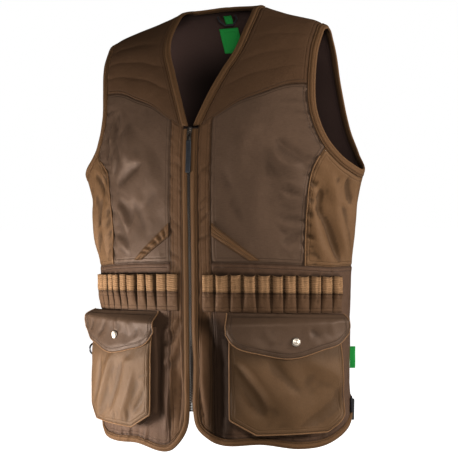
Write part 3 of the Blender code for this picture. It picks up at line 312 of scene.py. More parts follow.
# broad unevenness of the worn cloth: size along, size down, slant, height
drape = {
    1: ((0.07, 0.11, 0.35, 0.0016), (0.034, 0.065, 0.5, 0.0006), (0.013, 0.024, 0.6, 0.00016)),
    -1: ((0.06, 0.1, 0.45, 0.002), (0.03, 0.064, 0.55, 0.0009), (0.012, 0.026, 0.6, 0.00018)),
}


def drapeRelief(side, along, down):
    total = np.zeros_like(along)
    for k, (wide, long, slant, height) in enumerate(drape[side]):
        place = (along + slant * down) / wide + 7.3 * k
        total += height * noise(place, down / long, 131 + side + 7 * k)
    # calm on the quilted shoulders, livelier below the chest
    return total * (0.35 + 0.65 * smooth((down - 0.2) / 0.1))


def crease(along, down, start, end, bow, width, height):
    # a soft ridge, or trough if negative, with a shallow hollow beside it
    ux, uy = end[0] - start[0], end[1] - start[1]
    length = math.hypot(ux, uy)
    t = ((along - start[0]) * ux + (down - start[1]) * uy) / length ** 2
    off = (ux * (down - start[1]) - uy * (along - start[0])) / length - bow * 4 * t * (1 - t)
    fade = smooth((t + 0.12) / 0.42) * smooth((1.12 - t) / 0.42)
    wide = width * (0.65 + 0.35 * np.sin(math.pi * np.clip(t, 0, 1)))
    shape = np.exp(-(off / wide) ** 2) - 0.4 * np.exp(-((off - 2.1 * wide) / (1.3 * wide)) ** 2)
    return height * fade * shape


def addCreases(total, rows, along, down):
    for row in rows:
        a0, d0, a1, d1, bow, width, height = (value / 1000 for value in row)
        total += crease(along, down, (a0, d0), (a1, d1), bow, width, height)
    return total


def surface(across, down, out=0.0, back=False):
    # a place on the worn cloth: across from centre front, or centre back if back, + to the left
    across, down, out = np.broadcast_arrays(*[np.asarray(v, float) for v in (across, down, out)])
    result = np.empty(across.shape + (3,))
    step = formTable["slopeStep"]
    for side in (1, -1):
        mine = across >= 0 if side > 0 else across < 0
        if not mine.any():
            continue
        a, d, o = np.abs(across[mine]), down[mine], out[mine]
        high = np.minimum(a + step, girth(side, np.abs(d)))
        sideways = (barePoint(side, high, d, back)
                    - barePoint(side, np.maximum(a - step, 0), d, back))
        fall = barePoint(side, a, d + step, back) - barePoint(side, a, d - step, back)
        normal = unit(np.cross(fall, sideways) * side * (-1 if back else 1))
        behind = (d < 0) != back
        along = np.where(behind, girth(side, np.abs(d)) - a, a)
        lift = o + creaseRelief(side, along, np.abs(d)) * smooth((np.abs(d) + 0.002) / 0.02)
        result[mine] = barePoint(side, a, d, back) + lift[:, None] * normal
    return result


def front(side):
    return lambda across, down, out=0.0: surface(side * np.maximum(across, 0.0), down, out)


def behind(side):
    return lambda across, down, out=0.0: surface(side * np.abs(across), down, out, True)


def wholeBack(across, down, out=0.0):
    return surface(across, down, out, True)


def grid(across, down):
    return np.stack(np.meshgrid(across, down), axis=-1)


def laid(place, coords, out=0.0):
    return place(coords[..., 0], coords[..., 1], out)


# lines on the cloth: (across, down, steps), the wearer's right moved by the fourth column
fine = 8
seams = dict(
    neck=((0.063, 0.0, 3), (0.067, 0.06, 3), (0.06, 0.125, 2), (0.044, 0.162, 2),
          (0.028, 0.2, 2), (0.005, 0.26, 0)),
    neckCorner=(0.0135, 0.2585),
    backNeck=((0.063, 0.0, 1), (0.048, 0.004, 2), (0.0, 0.007, 0)),
    armhole=((0.2, 0.0, 4, 0.026), (0.196, 0.06, 4, 0.03), (0.196, 0.12, 4, 0.026),
             (0.1995, 0.18, 2, 0.014), (0.207, 0.232, 2, 0.004), (0.234, 0.291, 3, 0.0),
             (0.268, 0.322, 2, 0.002), (0.305, 0.334, 3, 0.006), (0.361, 0.308, 2, 0.012),
             (0.38, 0.28, 0, 0.014)),
    yokeEnd=12, princessTop=16, sideTop=24,
    armholeBack=((0.245, 0.308, 2, 0.0), (0.218, 0.27, 3, 0.004), (0.199, 0.19, 3, 0.014),
                 (0.195, 0.09, 4, 0.022), (0.2, 0.0, 0, 0.026)),
    yoke=((0.037, 0.2455, 2), (0.078, 0.22, 2), (0.117, 0.204, 2), (0.156, 0.1865, 2)),
    placketSteps=3,
    princess=((0.207, 0.328, 1, -0.014), (0.198, 0.358, 1, -0.015), (0.1935, 0.392, 1, -0.014),
              (0.192, 0.432, 2, -0.012), (0.19, 0.489, 0, -0.01)),
    chestSteps=8, sideSteps=8, princessSteps=6, lowerSteps=8,
    edge=((0.0035, 0.2645, 10, 0.0), (0.0035, 0.48, 5, 0.0), (0.0035, 0.69, 1, 0.0),
          (0.0035, 0.715, 2, 0.0), (0.0105, 0.751, 3, 0.008), (0.035, 0.771, 4, 0.017),
          (0.121, 0.776, 4, 0.011), (0.179, 0.785, 2, 0.007), (0.223, 0.783, 2, 0.008),
          (0.254, 0.774, 2, 0.01), (0.3, 0.754, 2, 0.006)),
    placketLow=18, placketLowEnd=21, edgeEnd=0.735,
    backEdge=((0.19, 0.745, 3), (0.11, 0.758, 3), (0.0, 0.765, 0)),
    backEdgeSteps=2, shoulderSteps=5,
    sideShare=0.6, sideMiddle=0.38, placket=0.037,
    neckBinding=0.012, armholeBinding=0.012, edgeBinding=0.01,
    waist=0.482, waistDrop=0.012, waistSpan=0.24,
    gap=0.0003, ridge=0.0004,
)


def curveThrough(rows):
    places = np.array([row[:2] for row in rows], float)
    chords = np.linalg.norm(np.diff(places, axis=0), axis=1)
    tangents = np.gradient(places, np.concatenate([[0], np.cumsum(chords)]), axis=0)
    line = [places[:1]]
    for k, chord in enumerate(chords):
        count = int(rows[k][2] * fine)
        t = (np.arange(1, count + 1) / count)[:, None]
        line.append((1 + 2 * t) * (1 - t) ** 2 * places[k]
                    + t * (1 - t) ** 2 * chord * tangents[k]
                    + t * t * (3 - 2 * t) * places[k + 1]
                    + t * t * (t - 1) * chord * tangents[k + 1])
    return np.concatenate(line)


def straight(start, end, steps):
    t = np.linspace(0, 1, steps * fine + 1)[:, None]
    return (1 - t) * np.array(start, float) + t * np.array(end, float)


def joined(*lines):
    return np.concatenate([lines[0]] + [line[1:] for line in lines[1:]])


def inset(line, width):
    tangents = unit(np.gradient(line, axis=0))
    return line + width * np.stack([tangents[:, 1], -tangents[:, 0]], axis=-1)


def coons(top, bottom, left, right):
    u = np.linspace(0, 1, len(top))[None, :, None]
    v = np.linspace(0, 1, len(left))[:, None, None]
    corners = ((1 - u) * (1 - v) * top[0] + u * (1 - v) * top[-1]
               + (1 - u) * v * bottom[0] + u * v * bottom[-1])
    return ((1 - v) * top[None] + v * bottom[None]
            + (1 - u) * left[:, None] + u * right[:, None] - corners)


def shifted(rows, side):
    return tuple((r[0] + (r[3] if side < 0 else 0), r[1], r[2]) for r in rows)


def waistAt(across):
    share = np.minimum(np.abs(across) / seams["waistSpan"], 1.0)
    return seams["waist"] + seams["waistDrop"] * share ** 2


def waistLine(start, end, steps):
    across = np.linspace(start, end, steps * fine + 1)
    return np.stack([across, waistAt(across)], axis=-1)


def seamLines(side):
    s, lines = seams, {}
    neck = curveThrough(s["neck"])
    lines["neck"] = neck
    lines["neckIn"] = inset(neck, s["neckBinding"])
    lines["neckIn"][0] = (s["neck"][0][0] + s["neckBinding"], 0.0)
    lines["neckIn"][-1] = s["neckCorner"]
    frontRows, backRows = shifted(s["armhole"], side), shifted(s["armholeBack"], side)
    armhole = curveThrough(frontRows)[: s["sideTop"] * fine + 1]
    lines["armhole"] = armhole
    lines["armholeIn"] = inset(armhole, -s["armholeBinding"])
    lines["armholeIn"][0] = (frontRows[0][0] - s["armholeBinding"], 0.0)
    start = (girth(side, armhole[-1][1]) - armhole[-1][0], armhole[-1][1], backRows[0][2])
    back = curveThrough((start,) + backRows[1:])
    lines["armholeBack"] = back
    lines["armholeBackIn"] = inset(back, s["armholeBinding"])
    corner = lines["armholeIn"][-1]
    lines["armholeBackIn"][0] = (girth(side, corner[1]) - corner[0], corner[1])
    lines["armholeBackIn"][-1] = (backRows[-1][0] - s["armholeBinding"], 0.0)
    yokeEnd = lines["armholeIn"][s["yokeEnd"] * fine]
    lines["yoke"] = curveThrough(((*s["neckCorner"], s["placketSteps"]),) + s["yoke"]
                                 + ((*yokeEnd, 0),))
    rows = shifted(s["princess"], side)
    foot = (rows[-1][0], float(waistAt(rows[-1][0])), 0)
    lines["princess"] = curveThrough(((*lines["armholeIn"][s["princessTop"] * fine], 1),)
                                     + rows[:-1] + (foot,))
    edgeRows = tuple((r[0], r[1] + (r[3] if side < 0 else 0), r[2]) for r in s["edge"])
    share = s["sideShare"]
    edge = curveThrough(edgeRows + ((share * girth(side, s["edgeEnd"]), s["edgeEnd"], 0),))
    lines["edge"] = edge
    lines["edgeIn"] = inset(edge, s["edgeBinding"])
    lines["edgeIn"][0] = (s["edgeBinding"] + s["edge"][0][0], s["edge"][0][1])
    ventTop = s["edgeEnd"] - s["edgeBinding"]
    lines["edgeIn"][-1] = (share * girth(side, ventTop), ventTop)
    sideWaist = share * girth(side, waistAt(s["waistSpan"]))
    lines["waist"] = joined(waistLine(s["placket"], foot[0], s["chestSteps"]),
                            waistLine(foot[0], sideWaist, s["sideSteps"]))
    middle = (share * girth(side, s["sideMiddle"]), s["sideMiddle"], 4)
    upper = ((*corner, 2), middle, (*lines["waist"][-1], 0))
    lower = straight(lines["waist"][-1], lines["edgeIn"][-1], s["lowerSteps"])
    lower[1:-1, 0] = share * girth(side, lower[1:-1, 1])
    lines["sideSeam"] = joined(curveThrough(upper), lower)
    placketLow = lines["edgeIn"][s["placketLowEnd"] * fine]
    lines["placket"] = joined(
        straight(lines["yoke"][s["placketSteps"] * fine], lines["waist"][0], s["chestSteps"] + 2),
        straight(lines["waist"][0], placketLow, s["lowerSteps"]))
    return lines


lines = {side: seamLines(side) for side in (1, -1)}
sideNames = {1: "left", -1: "right"}
print("seam lines drawn")

# shared shader groups


def socketsOf(group, inputs, outputs):
    for name, kind, value in inputs:
        socket = group.interface.new_socket(name, in_out="INPUT", socket_type=kind)
        if value is not None:
            socket.default_value = value
    for name, kind in outputs:
        group.interface.new_socket(name, in_out="OUTPUT", socket_type=kind)
    return group.nodes.new("NodeGroupInput"), group.nodes.new("NodeGroupOutput")


def fillInputs(node, values):
    # each input set to its value or linked to its socket
    for name, value in values.items():
        if isinstance(value, bpy.types.NodeSocket):
            node.id_data.links.new(value, node.inputs[name])
        else:
            node.inputs[name].default_value = value
    return node


def addNode(tree, kind, values=None, **settings):
    node = tree.nodes.new(kind)
    for name, value in settings.items():
        setattr(node, name, value)
    return fillInputs(node, values or {})


def mathNode(operation, *values, clamp=False):
    # at least one of the values is a socket, and its tree takes the node
    tree = next(v for v in values if isinstance(v, bpy.types.NodeSocket)).id_data
    return addNode(tree, "ShaderNodeMath", dict(enumerate(values)), operation=operation,
                   use_clamp=clamp).outputs[0]


def plus(a, b, clamp=False):
    return mathNode("ADD", a, b, clamp=clamp)


def times(a, b):
    return mathNode("MULTIPLY", a, b)


def noiseNode(tree, at, **values):
    return addNode(tree, "ShaderNodeTexNoise", dict(Vector=at, **values)).outputs["Fac"]


def blend(tree, factor, low, high):
    return addNode(tree, "ShaderNodeMix", dict(Factor=factor, A=low, B=high),
                   data_type="RGBA").outputs["Result"]


def bumpNode(tree, height):
    values = dict(Strength=1.0, Distance=1.0, Height=height)
    return addNode(tree, "ShaderNodeBump", values).outputs[0]


def groupNode(tree, group, **values):
    return addNode(tree, "ShaderNodeGroup", values, node_tree=group).outputs


twillShares = dict(turn=6.2832, threads=1.6, rib=0.7, thread=0.3, tone=0.5)


def twillGroup():
    # fine diagonal ribs crossed by threads, from a cut laid out in metres
    group, share = bpy.data.node_groups.new("twillWeave", "ShaderNodeTree"), twillShares
    start, end = socketsOf(
        group,
        [("Cut", "NodeSocketVector", None), ("Pitch", "NodeSocketFloat", 0.0011),
         ("Slant", "NodeSocketFloat", 0.6)],
        [("Height", "NodeSocketFloat"), ("Tone", "NodeSocketFloat")])
    cut, pitch, slant = (start.outputs[name] for name in ("Cut", "Pitch", "Slant"))
    parts = addNode(group, "ShaderNodeSeparateXYZ", {0: cut}).outputs
    turns = mathNode("DIVIDE", share["turn"], pitch)
    rib = mathNode("SINE", times(plus(parts[0], times(parts[1], slant)), turns))
    thread = mathNode("SINE", times(parts[1], times(turns, share["threads"])))
    mixed = plus(times(rib, share["rib"]), times(thread, share["thread"]))
    speck = noiseNode(group, cut, Scale=900.0, Detail=1.0)
    fillInputs(end, dict(Height=mixed, Tone=plus(times(mixed, share["tone"]), speck)))
    return group


def seamGroup():
    # two sunken stitch rows beside a seam, from each point's distance to it
    group = bpy.data.node_groups.new("seamRows", "ShaderNodeTree")
    start, end = socketsOf(
        group,
        [("Near", "NodeSocketFloat", 1.0), ("First", "NodeSocketFloat", 0.0018),
         ("Second", "NodeSocketFloat", 0.0075), ("Width", "NodeSocketFloat", 0.0009)],
        [("Height", "NodeSocketFloat"), ("Shade", "NodeSocketFloat")])
    near, rows = start.outputs["Near"], []
    for name in ("First", "Second"):
        away = mathNode("SUBTRACT", near, start.outputs[name])
        away = mathNode("DIVIDE", away, start.outputs["Width"])
        rows.append(mathNode("EXPONENT", times(times(away, away), -1.0)))
    both = plus(*rows)
    # painted shade: the colour darkens in both stitch rows and right beside the seam
    close = mathNode("EXPONENT", mathNode("DIVIDE", near, -0.0017))
    shade = plus(times(both, 0.45), close, clamp=True)
    fillInputs(end, dict(Height=times(both, -1.0), Shade=shade))
    return group


twillWeave = twillGroup()
seamRows = seamGroup()


def shaded(colour, factor):
    return (*[min(1.0, c * factor) for c in colour], 1.0)


def newMaterial(name, colour):
    made = bpy.data.materials.new(name)
    made.use_nodes = True
    made.diffuse_color = (*colour, 1.0)
    return made, made.node_tree, made.node_tree.nodes["Principled BSDF"]


def clothMaterial(name, colour, rough=0.72, sheen=0.04, sheenRough=0.5, pitch=0.0011, slant=0.6,
                  weave=0.00006, crumple=0.0004, crumpleScale=70.0, mottle=0.26, seam=0.0004,
                  gloss=0.0, seamShade=0.46, specular=0.4, grain=(620.0, 260.0, 1.0), shade=0.16):
    made, tree, shader = newMaterial(name, colour)
    cut = addNode(tree, "ShaderNodeUVMap", uv_map="cut").outputs[0]
    near, gloom = (addNode(tree, "ShaderNodeAttribute", attribute_name=label).outputs["Fac"]
                   for label in ("near", "gloom"))
    place = addNode(tree, "ShaderNodeTexCoord").outputs["Object"]
    twill = groupNode(tree, twillWeave, Cut=cut, Pitch=pitch, Slant=slant)
    rows = groupNode(tree, seamRows, Near=near)
    broad = noiseNode(tree, place, Scale=14.0, Detail=3.0)
    small = noiseNode(tree, place, Scale=crumpleScale, Detail=4.0, Roughness=0.55)
    stretch = addNode(tree, "ShaderNodeMapping", dict(Vector=cut, Scale=grain)).outputs[0]
    threads = noiseNode(tree, stretch, Scale=1.0, Detail=2.0)
    tone = plus(plus(times(broad, 0.4), times(twill["Tone"], 0.2)), times(threads, 0.4))
    worn = blend(tree, tone, shaded(colour, 1 - mottle * 1.6), shaded(colour, 1 + mottle * 1.6))
    # painted shade: the seam rows' shade and the gloom attribute pull the colour towards its
    # darkest tone
    deep = plus(times(rows["Shade"], seamShade), gloom, clamp=True)
    height = plus(times(twill["Height"], weave), times(small, crumple))
    fillInputs(shader, {
        "Sheen Weight": sheen, "Sheen Roughness": sheenRough, "Sheen Tint": shaded(colour, 3.0),
        "Specular IOR Level": specular,
        # the shine takes the cloth's colour, less so where gloss is high
        "Specular Tint": (*[(1 - gloss) * 0.75 * c / max(colour) + gloss for c in colour], 1.0),
        "Base Color": blend(tree, deep, worn, shaded(colour, shade)),
        "Roughness": plus(rough - 0.06, times(small, 0.12)),
        "Normal": bumpNode(tree, plus(height, times(rows["Height"], seam)))})
    return made


cloths = dict(
    chest=clothMaterial("chestSatin", (0.08, 0.05, 0.033), rough=0.5, sheen=0.06,
                        sheenRough=0.3, weave=0.00003, crumple=0.0013, crumpleScale=36.0,
                        specular=0.24, mottle=0.3, grain=(130.0, 620.0, 1.0)),
    yoke=clothMaterial("yokeCloth", (0.078, 0.043, 0.0235), rough=0.85, crumple=0.0012,
                       crumpleScale=44.0, specular=0.15),
    khaki=clothMaterial("khakiTwill", (0.114, 0.063, 0.031), rough=0.55, specular=0.3,
                        crumple=0.0015, crumpleScale=40.0),
    lower=clothMaterial("lowerTwill", (0.073, 0.042, 0.0262), rough=0.58, specular=0.26,
                        crumple=0.0016, crumpleScale=38.0),
    placket=clothMaterial("placketTwill", (0.09, 0.049, 0.026), rough=0.66, specular=0.22,
                          crumple=0.0011, crumpleScale=60.0),
    binding=clothMaterial("bindingTwill", (0.108, 0.058, 0.028), rough=0.66, pitch=0.0009,
                          crumple=0.0003, crumpleScale=160.0, specular=0.25),
    inside=clothMaterial("clothInside", (0.08, 0.049, 0.041), rough=0.92, sheen=0.0, seam=0.0,
                         specular=0.04, shade=0.05, crumple=0.0002),
    bag=clothMaterial("bagTwill", (0.095, 0.0525, 0.025), rough=0.54, specular=0.26, gloss=0.3,
                      seamShade=0.08, crumple=0.0013, crumpleScale=34.0),
    flap=clothMaterial("flapSatin", (0.074, 0.0445, 0.0275), rough=0.5, sheen=0.06,
                       sheenRough=0.3, weave=0.00003, crumple=0.0006, crumpleScale=50.0,
                       specular=0.24, gloss=0.24),
    elastic=clothMaterial("elasticTan", (0.228, 0.131, 0.067), rough=0.78, pitch=0.032, slant=9.0,
                          weave=0.00035, crumple=0.0002, crumpleScale=120.0, seam=0.0,
                          specular=0.2),
    loop=clothMaterial("loopTwill", (0.088, 0.049, 0.027), rough=0.66, specular=0.24,
                       crumple=0.001, crumpleScale=110.0),
    piping=clothMaterial("pipingTwill", (0.175, 0.098, 0.05), rough=0.6, pitch=0.0008, seam=0.0,
                         specular=0.3),
    tape=clothMaterial("zipTape", (0.022, 0.016, 0.014), rough=0.8, pitch=0.0008, specular=0.2),
    webbing=clothMaterial("strapWebbing", (0.012, 0.011, 0.012), rough=0.75, pitch=0.0016,
                          weave=0.00012, specular=0.2),
    green=clothMaterial("labelGreen", (0.018, 0.19, 0.04), rough=0.7, pitch=0.0007, slant=0.0,
                        mottle=0.05, seam=0.0002, seamShade=0.2, specular=0.2),
)


def plainMaterial(name, colour, rough=0.5, metallic=0.0, bumpScale=900.0, bump=0.00004,
                  mottle=0.12, coat=0.0):
    made, tree, shader = newMaterial(name, colour)
    place = addNode(tree, "ShaderNodeTexCoord").outputs["Object"]
    grain = noiseNode(tree, place, Scale=bumpScale, Detail=3.0)
    wear = noiseNode(tree, place, Scale=bumpScale / 6)
    fillInputs(shader, {
        "Metallic": metallic, "Coat Weight": coat,
        "Base Color": blend(tree, wear, shaded(colour, 1 - mottle), shaded(colour, 1 + mottle)),
        "Roughness": plus(rough - 0.08, times(wear, 0.16)),
        "Normal": bumpNode(tree, times(grain, bump))})
    return made


metals = dict(
    nickel=plainMaterial("nickel", (0.47, 0.41, 0.34), rough=0.44, metallic=1.0),
    slider=plainMaterial("sliderMetal", (0.22, 0.19, 0.165), rough=0.34, metallic=1.0),
    teeth=plainMaterial("zipTeethMetal", (0.26, 0.23, 0.2), rough=0.42, metallic=1.0),
    threadDark=plainMaterial("threadBrown", (0.04, 0.022, 0.012), rough=0.7, bump=0.0),
    threadKhaki=plainMaterial("threadKhaki", (0.07, 0.038, 0.018), rough=0.7, bump=0.0),
)
plastics = dict(
    black=plainMaterial("blackPlastic", (0.012, 0.012, 0.013), rough=0.38, coat=0.2),
    slate=plainMaterial("slateRubber", (0.013, 0.014, 0.017), rough=0.52),
    webbed=plainMaterial("blackCord", (0.012, 0.011, 0.012), rough=0.8, bump=0.0002),
)
print("cloth finishes made")

# shells of cloth


def coonsWalls(coords):
    # each point's distance to the four sides of its panel, in metres of cloth
    def run(axis):
        step = np.linalg.norm(np.diff(coords, axis=axis), axis=-1)
        total = np.cumsum(step, axis=axis)
        zero = np.zeros_like(np.take(total, [0], axis=axis))
        return np.concatenate([zero, total], axis=axis)
    rowRun, columnRun = run(0), run(1)
    return dict(top=rowRun, bottom=rowRun[-1:] - rowRun,
                left=columnRun, right=columnRun[:, -1:] - columnRun,
                rowRun=rowRun, columnRun=columnRun)


def drawnIn(coords, gap):
    coords = coords.copy()
    for turned in (coords, coords.swapaxes(0, 1)):
        for edge, inner in ((0, 1), (-1, -2)):
            turned[edge] += unit(turned[inner] - turned[edge]) * gap / 2
    return coords


def seamRelief(coords, sides, seed):
    # the cloth dips at its seams and puckers beside them: sides gives (dip, pucker, wavelength,
    # and how far the puckers reach if not the usual 11 mm)
    walls = coonsWalls(coords)
    total = np.zeros(coords.shape[:2])
    near = np.full(coords.shape[:2], 1.0)
    for k, (name, setting) in enumerate(sides.items()):
        if not setting:
            continue
        dip, pucker, wave, reach = setting if len(setting) > 3 else (*setting, 0.011)
        away = walls[name]
        run = walls["columnRun"] if name in ("top", "bottom") else walls["rowRun"]
        total -= dip * np.exp(-(away / 0.0022) ** 2)
        slanted = (run + 0.25 * away) / wave
        ripple = noise(slanted, away / (1.8 * reach), seed + k) + 0.5 * noise(
            slanted * 2.3, away / reach, seed + k + 9)
        total += pucker * ripple * np.exp(-away / reach) * smooth(away / 0.004 + 0.25)
        near = np.minimum(near, away)
    return total, near


def wovenMesh(name, points, faces, slots, cut, near, gloom=None, sharp=52):
    # a mesh from arrays, with its cut laid out in metres and each point's distance to a seam
    mesh = bpy.data.meshes.new(name)
    mesh.vertices.add(len(points))
    mesh.vertices.foreach_set("co", points.astype(np.float32).ravel())
    mesh.loops.add(len(faces) * 4)
    mesh.loops.foreach_set("vertex_index", faces.astype(np.int32).ravel())
    mesh.polygons.add(len(faces))
    mesh.polygons.foreach_set("loop_start", np.arange(0, len(faces) * 4, 4, dtype=np.int32))
    mesh.polygons.foreach_set("material_index", slots.astype(np.int32))
    uv = mesh.uv_layers.new(name="cut")
    uv.data.foreach_set("uv", cut[faces.ravel()].astype(np.float32).ravel())
    gloom = np.zeros(len(points)) if gloom is None else gloom
    for label, values in (("near", near), ("gloom", gloom)):
        attribute = mesh.attributes.new(label, "FLOAT", "POINT")
        attribute.data.foreach_set("value", np.asarray(values).astype(np.float32))
    mesh.update(calc_edges=True)
    mesh.validate()
    mesh.shade_smooth()
    mesh.set_sharp_from_angle(angle=math.radians(sharp))
    return mesh


def outwardFaces(points, faces):
    # turns the faces of a closed mesh outwards
    a, b, c, d = (points[faces[:, k]] - points.mean(0) for k in range(4))
    volume = (a * np.cross(b, c)).sum() + (a * np.cross(c, d)).sum()
    return faces[:, ::-1] if volume < 0 else faces


def hollowShade(outer, inner, most):
    # how deep each point of a sheet lies between its neighbours, 0 to most, for painted shade in
    # its hollows
    normals = outer - inner
    normals /= np.linalg.norm(normals, axis=-1)[..., None] + 1e-9
    total = np.zeros(outer.shape[:2])
    for step, depth in ((2, 0.0007), (5, 0.003)):
        for axis in (0, 1):
            index = np.arange(outer.shape[axis])
            reach = np.minimum(step, np.minimum(index, index[-1] - index))
            middle = (np.take(outer, index - reach, axis) + np.take(outer, index + reach, axis)) / 2
            total += ((middle - outer) * normals).sum(-1) / depth
    return most * smooth(np.clip((total - 0.2) / 1.2, 0, 1))


def quadsOf(index):
    return np.stack([index[:-1, :-1], index[:-1, 1:], index[1:, 1:], index[1:, :-1]],
                    axis=-1).reshape(-1, 4)


def shellMesh(name, outer, inner, coords, near, gloom=None, innerGloom=0.0, hollow=0.35):
    # an outer and an inner sheet joined round their border
    rows, columns = outer.shape[:2]
    count = rows * columns
    index = np.arange(count).reshape(rows, columns)
    quads = quadsOf(index)
    border = np.concatenate([index[0, :-1], index[:-1, -1], index[-1, :0:-1], index[:0:-1, 0]])
    after = np.roll(border, -1)
    rim = np.stack([after, border, border + count, after + count], axis=-1)
    faces = np.concatenate([quads, quads[:, ::-1] + count, rim])
    points = np.concatenate([outer.reshape(-1, 3), inner.reshape(-1, 3)])
    if np.dot(np.cross(outer[0, 1] - outer[0, 0], outer[1, 0] - outer[0, 0]),
              outer[0, 0] - inner[0, 0]) < 0:
        faces = faces[:, ::-1]
    slots = np.zeros(len(faces))
    slots[len(quads):2 * len(quads)] = 1
    # painted shade in the sheet's hollows, joined with any gloom given
    deep = hollowShade(outer, inner, hollow)
    gloom = (deep if gloom is None else np.maximum(deep, gloom)).ravel()
    innerGloom = (np.zeros((rows, columns)) + innerGloom).ravel()
    return wovenMesh(name, points, faces, slots, np.concatenate([coords.reshape(-1, 2)] * 2),
                     np.concatenate([near.ravel()] * 2), np.concatenate([gloom, innerGloom]))


def tubeMesh(name, points, cut, near, closed=False, gloom=None, sharp=52):
    # rings of points, one row each, joined into a tube with its ends filled or met
    rows, columns = points.shape[:2]
    index = np.arange(rows * columns).reshape(rows, columns)
    index = np.concatenate([index, index[:, :1]], axis=1)
    if closed:
        index = np.concatenate([index, index[:1]], axis=0)
    faces = quadsOf(index)
    if not closed:
        half = columns // 2
        for row, turned in ((0, False), (rows - 1, True)):
            ring = index[row, :columns]
            ends = []
            for k in range(half - (1 if columns % 2 == 0 else 0)):
                low, high = ring[k], ring[k + 1]
                farHigh, farLow = ring[columns - 2 - k], ring[columns - 1 - k]
                ends.append((low, high, farHigh, farLow))
            ends = np.array([e for e in ends if len(set(e)) == 4])
            faces = np.concatenate([faces, ends if turned else ends[:, ::-1]])
    flat = points.reshape(-1, 3)
    faces = outwardFaces(flat, faces)
    gloom = None if gloom is None else gloom.ravel()
    return wovenMesh(name, flat, faces, np.zeros(len(faces)), cut.reshape(-1, 2), near.ravel(),
                     gloom, sharp)


def placed(name, mesh, materials, body="garment", node=None, slot=None):
    for material in materials:
        mesh.materials.append(material)
    made = linked(name, mesh)
    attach(made, body)
    if node:
        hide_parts(node)
    return made


def flatArea(coords):
    a, b = coords[1:, :-1] - coords[:-1, :-1], coords[:-1, 1:] - coords[:-1, :-1]
    return float(np.abs(a[..., 0] * b[..., 1] - a[..., 1] * b[..., 0]).sum())


def declared(made, coords, held="stretched", on=("back",)):
    size = coords.reshape(-1, 2).max(0) - coords.reshape(-1, 2).min(0)
    area = flatArea(coords)
    width, length = max(size[0], 0.01), max(size[1], 0.01)
    area = min(max(area, 0.301 * width * length), width * length)
    list(on)
    return made


def sheetPiece(name, node, slot, place, coords, outs, near, cloth, inside="inside",
               held="stretched", on=("back",), **shade):
    # a sheet from its cut, between two heights over the body
    outer, inner = (laid(place, coords, out) for out in outs)
    mesh = shellMesh(name, outer, inner, coords, near, **shade)
    made = placed(name, mesh, [cloths[cloth], cloths[inside]], node=node, slot=slot)
    declared(made, coords, held, on)
    return outer, inner


# rows of stitches and teeth, laid along lines on the cloth

rowsWanted = {}


def addRow(kind, points, normals):
    rowsWanted.setdefault(kind, []).append((np.asarray(points), np.asarray(normals)))


def gridNormals(points):
    return unit(np.cross(np.gradient(points, axis=1), np.gradient(points, axis=0)))


def outwardNormals(outer, inner):
    normals = gridNormals(outer)
    return -normals if np.mean(((outer - inner) * normals).sum(-1)) < 0 else normals


def rowInGrid(outer, inner, walls, side, away, ends=0.004):
    # the line that runs at a set distance from one side of a panel
    normals = outwardNormals(outer, inner)
    wall = walls[side]
    if side in ("left", "right"):
        outer, normals, wall = (np.swapaxes(v, 0, 1) for v in (outer, normals, wall))
    if side in ("bottom", "right"):
        outer, normals, wall = outer[::-1], normals[::-1], wall[::-1]
    points, facing = (
        np.array([[np.interp(away, wall[:, k], values[:, k, axis]) for axis in range(3)]
                  for k in range(outer.shape[1])]) for values in (outer, normals))
    run = runAlong(points)
    keep = (run > ends) & (run < run[-1] - ends)
    return points[keep], facing[keep]


def pieceRowGroup():
    # small pieces set along lines: rounded threads, or blocks where square
    group = bpy.data.node_groups.new("rowOfPieces", "GeometryNodeTree")
    sizes = (("Pitch", 0.0032), ("Long", 0.0024), ("Wide", 0.0005), ("High", 0.0004),
             ("Wander", 0.06))
    start, end = socketsOf(
        group,
        [("Geometry", "NodeSocketGeometry", None),
         *[(name, "NodeSocketFloat", value) for name, value in sizes],
         ("Seed", "NodeSocketInt", 3), ("Square", "NodeSocketBool", False),
         ("Finish", "NodeSocketMaterial", None)],
        [("Geometry", "NodeSocketGeometry")])
    given = start.outputs

    def step(kind, values=None, **settings):
        return addNode(group, kind, values, **settings).outputs

    line = step("GeometryNodeMeshToCurve", {0: given["Geometry"]})[0]
    even = step("GeometryNodeResampleCurve", dict(Curve=line, Length=given["Pitch"]),
                mode="LENGTH")[0]
    along = step("GeometryNodeInputTangent")[0]
    facing = step("GeometryNodeInputNamedAttribute", dict(Name="outward"),
                  data_type="FLOAT_VECTOR")["Attribute"]
    turn = step("FunctionNodeAxesToRotation", {0: along, 1: facing}, primary_axis="X",
                secondary_axis="Z")[0]
    size = step("ShaderNodeCombineXYZ", {0: given["Long"], 1: given["Wide"], 2: given["High"]})[0]
    thread = step("GeometryNodeMeshIcoSphere", dict(Radius=0.5, Subdivisions=1))["Mesh"]
    tooth = step("GeometryNodeMeshCube")["Mesh"]
    piece = step("GeometryNodeSwitch", {"Switch": given["Square"], "False": thread, "True": tooth},
                 input_type="GEOMETRY")[0]
    shape = step("GeometryNodeTransform", dict(Geometry=piece, Scale=size))[0]
    span = step("ShaderNodeVectorMath", {0: (0.3, 1.0, 1.0), "Scale": given["Wander"]},
                operation="SCALE")[0]
    back = step("ShaderNodeVectorMath", {0: span, "Scale": -1.0}, operation="SCALE")[0]
    jitter = step("FunctionNodeRandomValue", dict(Seed=given["Seed"], Max=span, Min=back),
                  data_type="FLOAT_VECTOR")["Value"]
    sway = step("FunctionNodeEulerToRotation", {0: jitter})[0]
    swayed = step("FunctionNodeRotateRotation", {0: turn, 1: sway}, rotation_space="LOCAL")[0]
    copies = step("GeometryNodeInstanceOnPoints",
                  dict(Points=even, Instance=shape, Rotation=swayed))[0]
    real = step("GeometryNodeRealizeInstances", {0: copies})[0]
    paint = step("GeometryNodeSetMaterial", dict(Geometry=real, Material=given["Finish"]))[0]
    fillInputs(end, dict(Geometry=paint))
    return group


pieceRow = pieceRowGroup()


